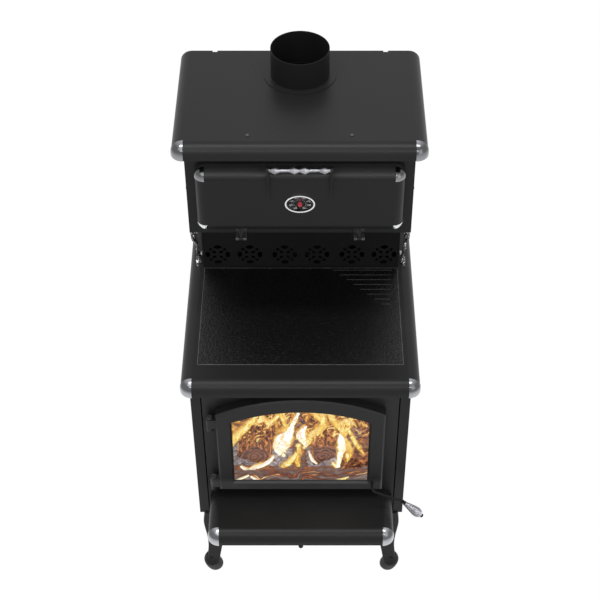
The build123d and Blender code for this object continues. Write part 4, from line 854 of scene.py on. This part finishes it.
def flameMaterial(name, flame):
    # "cool" grows from the middle of a tongue to its edge and between the strokes: it gives the
    # colour, and past "clearFrom" the flame thins out; "fade" is the height at which a flame is
    # gone and the one at which it is all there
    material, nodes, links, surface = newMaterial(name)
    place = nodes.new("ShaderNodeTexCoord").outputs["Object"]
    turned = nodes.new("ShaderNodeMapping")
    turned.inputs["Rotation"].default_value = (0, math.radians(flame["lean"]), 0)
    links.new(place, turned.inputs["Vector"])
    strokes = addStreaks(nodes, links, turned.outputs["Vector"], flame)
    edge = nodes.new("ShaderNodeLayerWeight").outputs["Facing"]
    edgeCool = addMath(nodes, links, "MULTIPLY", edge, flame["edgeShare"])
    cool = addMath(nodes, links, "MULTIPLY_ADD", strokes, flame["strokeShare"], edgeCool)
    ramp = addRamp(nodes, flame["stops"])
    links.new(cool, ramp.inputs["Fac"])
    clear = addRange(nodes, links, cool, flame["clearFrom"], flame["clearTo"])
    clear.interpolation_type = "SMOOTHSTEP"
    clear.inputs["To Min"].default_value = flame["solid"]
    clear.inputs["To Max"].default_value = 0
    thin = clear.outputs["Result"]
    if "fade" in flame:
        gone, full = (hearth.z + height for height in flame["fade"])
        fade = addRange(nodes, links, heightOf(nodes, links, place), gone, full)
        fade.interpolation_type = "SMOOTHSTEP"
        thin = addMath(nodes, links, "MULTIPLY", thin, fade.outputs["Result"])
    links.new(ramp.outputs["Color"], surface.inputs["Emission Color"])
    surface.inputs["Emission Strength"].default_value = flame["strength"]
    surface.inputs["Base Color"].default_value = (0, 0, 0, 1)
    surface.inputs["Specular IOR Level"].default_value = 0
    surface.inputs["Roughness"].default_value = 1
    links.new(thin, surface.inputs["Alpha"])
    return material


flameLooks = {
    "whiteFlame": {
        "stretch": (90, 60, 18), "warp": 0.08, "warpScale": 18, "detail": 2, "lean": 0,
        "edgeShare": 1, "strokeShare": 0.5, "strength": 1.08, "solid": 1, "clearFrom": 0.62, "clearTo": 1.02,
        "stops": (
            (0.58, (1, 1, 0.95)), (0.72, (1, 0.95, 0.6)), (0.84, (1, 0.75, 0.22)), (1, (0.9, 0.42, 0.07)),
        ),
    },
    "creamFlame": {
        "stretch": (100, 60, 16), "warp": 0.1, "warpScale": 18, "detail": 2, "lean": 0,
        "edgeShare": 1, "strokeShare": 0.6, "strength": 1, "solid": 0.95, "clearFrom": 0.58, "clearTo": 0.98,
        "stops": (
            (0.4, (1, 0.97, 0.6)), (0.56, (0.98, 0.84, 0.24)),
            (0.72, (0.95, 0.6, 0.1)), (0.92, (0.7, 0.27, 0.04)),
        ),
    },
    "amberHalo": {
        "stretch": (80, 60, 14), "warp": 0.12, "warpScale": 14, "detail": 2, "lean": 0,
        "edgeShare": 1, "strokeShare": 0.7, "strength": 0.95, "solid": 0.55, "clearFrom": 0.45, "clearTo": 1,
        "stops": (
            (0.4, (1, 0.72, 0.22)), (0.6, (0.95, 0.5, 0.11)),
            (0.8, (0.75, 0.3, 0.06)), (1, (0.42, 0.14, 0.04)),
        ),
    },
    "goldVeil": {
        "stretch": (46, 46, 10), "warp": 0.22, "warpScale": 9, "detail": 2.5, "lean": 24,
        "edgeShare": 0.05, "strokeShare": 1, "strength": 0.95,
        "solid": 0.97, "clearFrom": 0.75, "clearTo": 1.1,
        "stops": (
            (0.03, (0.95, 0.76, 0.2)), (0.2, (0.76, 0.4, 0.08)), (0.42, (0.42, 0.16, 0.04)),
            (0.65, (0.22, 0.085, 0.04)), (0.95, (0.1, 0.05, 0.04)),
        ),
    },
    "strokeVeil": {
        "stretch": (80, 60, 11), "warp": 0.2, "warpScale": 10, "detail": 2, "lean": -28,
        "edgeShare": 0, "strokeShare": 1, "strength": 1, "solid": 0.8, "clearFrom": 0.08, "clearTo": 0.45,
        "fade": (0.09, 0.17),
        "stops": (
            (0.03, (1, 0.88, 0.42)), (0.16, (1, 0.66, 0.17)),
            (0.3, (0.85, 0.38, 0.08)), (0.45, (0.55, 0.18, 0.04)),
        ),
    },
    # the sill sheet glows in orange veins and in greys and browns between them: flame, and painted firelight
    # on ash and wood at the sill
    "sillVeil": {
        "stretch": (9, 22, 80), "warp": 0.1, "warpScale": 14, "detail": 4, "lean": 8,
        "edgeShare": 0, "strokeShare": 1, "strength": 0.95, "solid": 1, "clearFrom": 0.95, "clearTo": 1.3,
        "fade": (0.08, 0.034),
        "stops": (
            (0.02, (1, 0.86, 0.5)), (0.1, (0.85, 0.42, 0.11)), (0.2, (0.4, 0.1, 0.04)),
            (0.34, (0.13, 0.055, 0.045)), (0.55, (0.17, 0.115, 0.1)), (0.9, (0.31, 0.25, 0.23)),
        ),
    },
}
for name, flame in flameLooks.items():
    materials[name] = flameMaterial(name, flame)

burningWood = {
    "stretch": (38, 120, 120),  # few changes along a log, many across it
    "warp": 0.05, "warpScale": 28, "detail": 5,
    "bark": (
        (0.1, (0.03, 0.011, 0.007)), (0.35, (0.1, 0.036, 0.019)),
        (0.6, (0.24, 0.088, 0.036)), (0.85, (0.5, 0.22, 0.08)),
    ),
    "ash": ((0.1, (0.07, 0.055, 0.055)), (0.5, (0.2, 0.175, 0.19)), (0.9, (0.42, 0.38, 0.4))),
    "ashPatches": {"Scale": 24, "Detail": 4},
    "ashFrom": 0.85, "ashTo": 1.25,  # of ash share and patches together, from 0 to 2
    "ends": ((0.1, (0.06, 0.027, 0.02)), (0.5, (0.11, 0.046, 0.03)), (0.9, (0.19, 0.075, 0.045))),
    "rings": {"Scale": 24, "Distortion": 9, "Detail": 5, "Detail Scale": 2},
    # the logs glow with their own colours, painted firelight standing in for the flames' light on them
    "firelightGlow": 0.8,
    "roughness": 0.85, "bump": 0.8, "bumpDepth": 0.003,
}


def readAttribute(nodes, name):
    attribute = nodes.new("ShaderNodeAttribute")
    attribute.attribute_name = name
    return attribute


def buildBurningWood(wood):
    material, nodes, links, surface = newMaterial("burningWood")
    logPlace = readAttribute(nodes, "logPlace").outputs["Vector"]
    grain = addStreaks(nodes, links, logPlace, wood)
    bark = addRamp(nodes, wood["bark"])
    links.new(grain, bark.inputs["Fac"])
    ash = addRamp(nodes, wood["ash"])
    links.new(grain, ash.inputs["Fac"])
    rings = nodes.new("ShaderNodeTexWave")
    rings.wave_type = "RINGS"
    rings.rings_direction = "X"
    for socketName, value in wood["rings"].items():
        rings.inputs[socketName].default_value = value
    links.new(logPlace, rings.inputs["Vector"])
    ends = addRamp(nodes, wood["ends"])
    links.new(rings.outputs["Fac"], ends.inputs["Fac"])
    patches = nodes.new("ShaderNodeTexNoise")
    for socketName, value in wood["ashPatches"].items():
        patches.inputs[socketName].default_value = value
    links.new(nodes.new("ShaderNodeTexCoord").outputs["Object"], patches.inputs["Vector"])
    ashShare = readAttribute(nodes, "ashShare").outputs["Fac"]
    raggedAsh = addMath(nodes, links, "ADD", ashShare, patches.outputs["Fac"])
    ashy = addRange(nodes, links, raggedAsh, wood["ashFrom"], wood["ashTo"])
    covered = mixColours(nodes, links, ashy.outputs["Result"], bark.outputs["Color"], ash.outputs["Color"])
    cutEnd = readAttribute(nodes, "cutEnd").outputs["Fac"]
    finished = mixColours(nodes, links, cutEnd, covered, ends.outputs["Color"])
    links.new(finished, surface.inputs["Base Color"])
    # painted firelight: the logs' colour also glows
    links.new(finished, surface.inputs["Emission Color"])
    surface.inputs["Emission Strength"].default_value = wood["firelightGlow"]
    surface.inputs["Roughness"].default_value = wood["roughness"]
    addBump(nodes, links, grain, wood, surface)
    return material


materials["burningWood"] = buildBurningWood(burningWood)
paint(burningLogs, "burningWood")

# the coal bed glows all over: its orange cracks as coals do, and the grey ash between them as painted
# firelight
glowingCoal = {
    "cells": 46,
    "stops": (
        (0, (0.65, 0.2, 0.045)), (0.028, (0.3, 0.085, 0.03)),
        (0.09, (0.12, 0.07, 0.06)), (0.35, (0.23, 0.175, 0.165)),
    ),
    "strength": 0.85,
    "base": (0.06, 0.055, 0.055),
    "roughness": 0.95, "bump": 0.7, "bumpDepth": 0.003,
}


def buildGlowingCoal(coal):
    material, nodes, links, surface = newMaterial("glowingCoal")
    lumps = nodes.new("ShaderNodeTexVoronoi")
    lumps.feature = "DISTANCE_TO_EDGE"
    lumps.inputs["Scale"].default_value = coal["cells"]
    links.new(nodes.new("ShaderNodeTexCoord").outputs["Object"], lumps.inputs["Vector"])
    heat = addRamp(nodes, coal["stops"])
    links.new(lumps.outputs["Distance"], heat.inputs["Fac"])
    links.new(heat.outputs["Color"], surface.inputs["Emission Color"])
    surface.inputs["Emission Strength"].default_value = coal["strength"]
    surface.inputs["Base Color"].default_value = colour(coal["base"])
    surface.inputs["Roughness"].default_value = coal["roughness"]
    addBump(nodes, links, lumps.outputs["Distance"], coal, surface)
    return material


materials["glowingCoal"] = buildGlowingCoal(glowingCoal)
paint(embers, "glowingCoal")

# each tongue of flame: its finish, its depth behind the hearth's front edge, and points of
# (across, height, half width) from one end to the other, in millimetres
flameTongues = {
    "mainFlame": ("whiteFlame", 48, (
        (-50, 35, 5), (-56, 78, 16), (-48, 118, 26), (-34, 150, 16), (-26, 180, 8), (-7, 234, 5),
    )),
    "leftLobe": ("whiteFlame", 43, (
        (-62, 60, 5), (-72, 84, 10), (-72, 110, 11), (-64, 138, 10), (-54, 150, 4),
    )),
    "middlePatch": ("whiteFlame", 48, (
        (16, 180, 2), (4, 158, 12), (0, 134, 17), (8, 112, 11), (14, 90, 3),
    )),
    "risingRibbon": ("creamFlame", 58, (
        (8, 70, 5), (17, 92, 11), (30, 124, 14), (52, 150, 14), (66, 176, 11), (63, 220, 9),
    )),
    "middleStem": ("creamFlame", 23, ((-2, -8, 4), (-3, 16, 7), (-13, 53, 9), (-2, 90, 10), (-7, 124, 9))),
    "smallCurl": ("whiteFlame", 13, ((23, 112, 2), (28, 84, 5), (36, 64, 5.5), (46, 54, 3))),
    "rightHook": ("creamFlame", 48, (
        (113, 118, 5), (122, 138, 9), (136, 166, 10), (136, 198, 10), (124, 206, 5),
    )),
    "rightStrand": ("creamFlame", 48, ((113, 124, 5), (119, 155, 7), (120, 194, 9))),
    "rightBody": ("whiteFlame", 18, (
        (111, -26, 6), (108, 24, 7), (111, 74, 9), (119, 122, 18), (115, 158, 10), (112, 178, 4),
    )),
    "rightLobe": ("creamFlame", 23, (
        (128, 32, 3), (136, 68, 9), (142, 104, 13), (130, 140, 11), (120, 158, 5),
    )),
    "lowLeft": ("whiteFlame", 8, (
        (-130, -18, 6), (-143, -6, 8), (-156, 22, 8), (-138, 42, 8),
        (-106, 54, 7), (-84, 80, 7), (-80, 92, 4),
    )),
    "lowLeftTip": ("whiteFlame", 8, ((-176, 48, 3), (-166, 38, 7), (-156, 28, 7))),
    "farLeft": ("creamFlame", 38, (
        (-200, 110, 8), (-190, 136, 14), (-174, 160, 13), (-150, 192, 10), (-126, 236, 7),
    )),
    "leftFork": ("creamFlame", 68, (
        (-116, 204, 5), (-104, 182, 7), (-92, 166, 8), (-80, 180, 6), (-62, 204, 5),
    )),
    "leftStrand": ("creamFlame", 58, ((-58, 228, 5), (-52, 194, 7), (-44, 168, 7), (-36, 144, 6))),
    "rightTall": ("creamFlame", 68, ((84, 214, 10), (92, 186, 11), (104, 160, 9), (118, 134, 6))),
    "middleTall": ("creamFlame", 68, ((36, 218, 6), (50, 196, 8), (63, 176, 9), (70, 152, 6))),
    "farRight": ("creamFlame", 43, ((134, 176, 4), (144, 152, 7), (158, 108, 8), (180, 70, 6), (196, 34, 3))),
    "lowMiddle": ("creamFlame", 18, (
        (-66, -20, 6), (-59, 20, 10), (-38, 48, 11), (-18, 76, 9), (-11, 96, 5),
    )),
    "rightSpray": ("creamFlame", 18, ((90, 52, 3), (100, 40, 8), (109, 24, 7), (111, -4, 6))),
    "sillStreak": ("whiteFlame", -22, ((-198, 16, 3), (-182, 24, 5), (-164, 34, 5), (-150, 44, 3))),
    "sillFoot": ("whiteFlame", -22, ((-146, 40, 3), (-136, 28, 6), (-122, 18, 6), (-112, 12, 4))),
    "sillGlow": ("creamFlame", -22, (
        (24, 20, 3), (48, 20, 4), (74, 17, 4), (98, 20, 4), (120, 24, 6), (140, 36, 3),
    )),
}
flameShape = {
    "flatness": 0.8,  # depth for its width
    "haloWidth": 1.5,
    "licks": {"lump": 0.016, "detail": 2, "share": 0.3},  # ragged edge, as a share of the half width
    "roundness": 4,
    "steps": 12,  # from one point to the next
    "curveOrder": 3,
}


def flameShell(name, points, widen):
    path = bpy.data.curves.new(name, "CURVE")
    path.dimensions = "3D"
    path.bevel_depth = 0.001  # so that a point's radius is in millimetres
    path.bevel_resolution = flameShape["roundness"]
    path.use_fill_caps = True
    path.resolution_u = flameShape["steps"]
    spline = path.splines.new("NURBS")
    spline.points.add(len(points) - 1)
    for point, (across, height, halfWidth) in zip(spline.points, points):
        point.co = (across / 1000, 0, height / 1000, 1)
        point.radius = halfWidth * widen
    spline.order_u = flameShape["curveOrder"]
    spline.use_endpoint_u = True
    shell = bpy.data.objects.new(name, path)
    bpy.context.collection.objects.link(shell)
    selectOnly(shell)
    bpy.ops.object.convert(target="MESH")
    shell = bpy.context.object
    widest = max(halfWidth for across, height, halfWidth in points) / 1000
    addDisplace(shell, lickTexture, widest * flameShape["licks"]["share"] * widen)
    applyModifiers(shell)
    shell.scale = (1, flameShape["flatness"], 1)
    shell.location.y = widest * (widen - 1) * flameShape["flatness"]  # a halo stands behind its core
    settle(shell)
    bpy.ops.object.shade_smooth()
    return shell


def flameTongue(name, finish, depth, points):
    core = flameShell(name, points, 1)
    paint(core, finish)
    halo = flameShell(name + "Halo", points, flameShape["haloWidth"])
    paint(halo, "amberHalo")
    piece = joinPieces([core, halo], name)
    piece.location = hearth + Vector((0, depth / 1000, 0))
    settle(piece)
    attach(piece, "stove")


lickTexture = cloudTexture("flameLicks", flameShape["licks"])
for name, (finish, depth, points) in flameTongues.items():
    flameTongue(name, finish, depth, points)

# curtains of flame behind and before the tongues: middle of the lower edge (across, depth,
# height), size, finish and how far they billow
flameVeils = {
    "backVeil": {"at": (0, 0.205, 0), "size": (0.42, 0.25), "finish": "goldVeil", "billow": 0.02},
    "leftVeil": {"at": (-0.13, 0.15, 0), "size": (0.16, 0.25), "finish": "goldVeil", "billow": 0.03},
    "rightVeil": {"at": (0.1, 0.15, 0), "size": (0.18, 0.25), "finish": "goldVeil", "billow": 0.03},
    "strokesBehind": {"at": (0, 0.1, 0.07), "size": (0.41, 0.2), "finish": "strokeVeil", "billow": 0.02},
    "strokesBefore": {"at": (0, 0.034, 0.06), "size": (0.4, 0.2), "finish": "strokeVeil", "billow": 0.012},
    "sillVeil": {"at": (0, -0.0225, 0.0245), "size": (0.384, 0.06), "finish": "sillVeil", "billow": 0.004},
}
veilCloth = {"folds": {"lump": 0.05, "detail": 1}, "thickness": 0.0008, "meshAcross": 60, "meshUp": 30}
veilTexture = cloudTexture("veilFolds", veilCloth["folds"])
for name, veil in flameVeils.items():
    bpy.ops.mesh.primitive_grid_add(
        x_subdivisions=veilCloth["meshAcross"],
        y_subdivisions=veilCloth["meshUp"],
        size=1,
        rotation=(math.pi / 2, 0, 0),
    )
    piece = bpy.context.object
    piece.name = name
    piece.scale = (veil["size"][0], veil["size"][1], 1)
    piece.location = hearth + Vector(veil["at"]) + Vector((0, 0, veil["size"][1] / 2))
    settle(piece)
    addDisplace(piece, veilTexture, veil["billow"])
    addWall(piece, veilCloth["thickness"])
    applyModifiers(piece)
    bpy.ops.object.shade_smooth()
    paint(piece, veil["finish"])
    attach(piece, "stove")
print("flames lit:", len(flameTongues) + len(flameVeils))
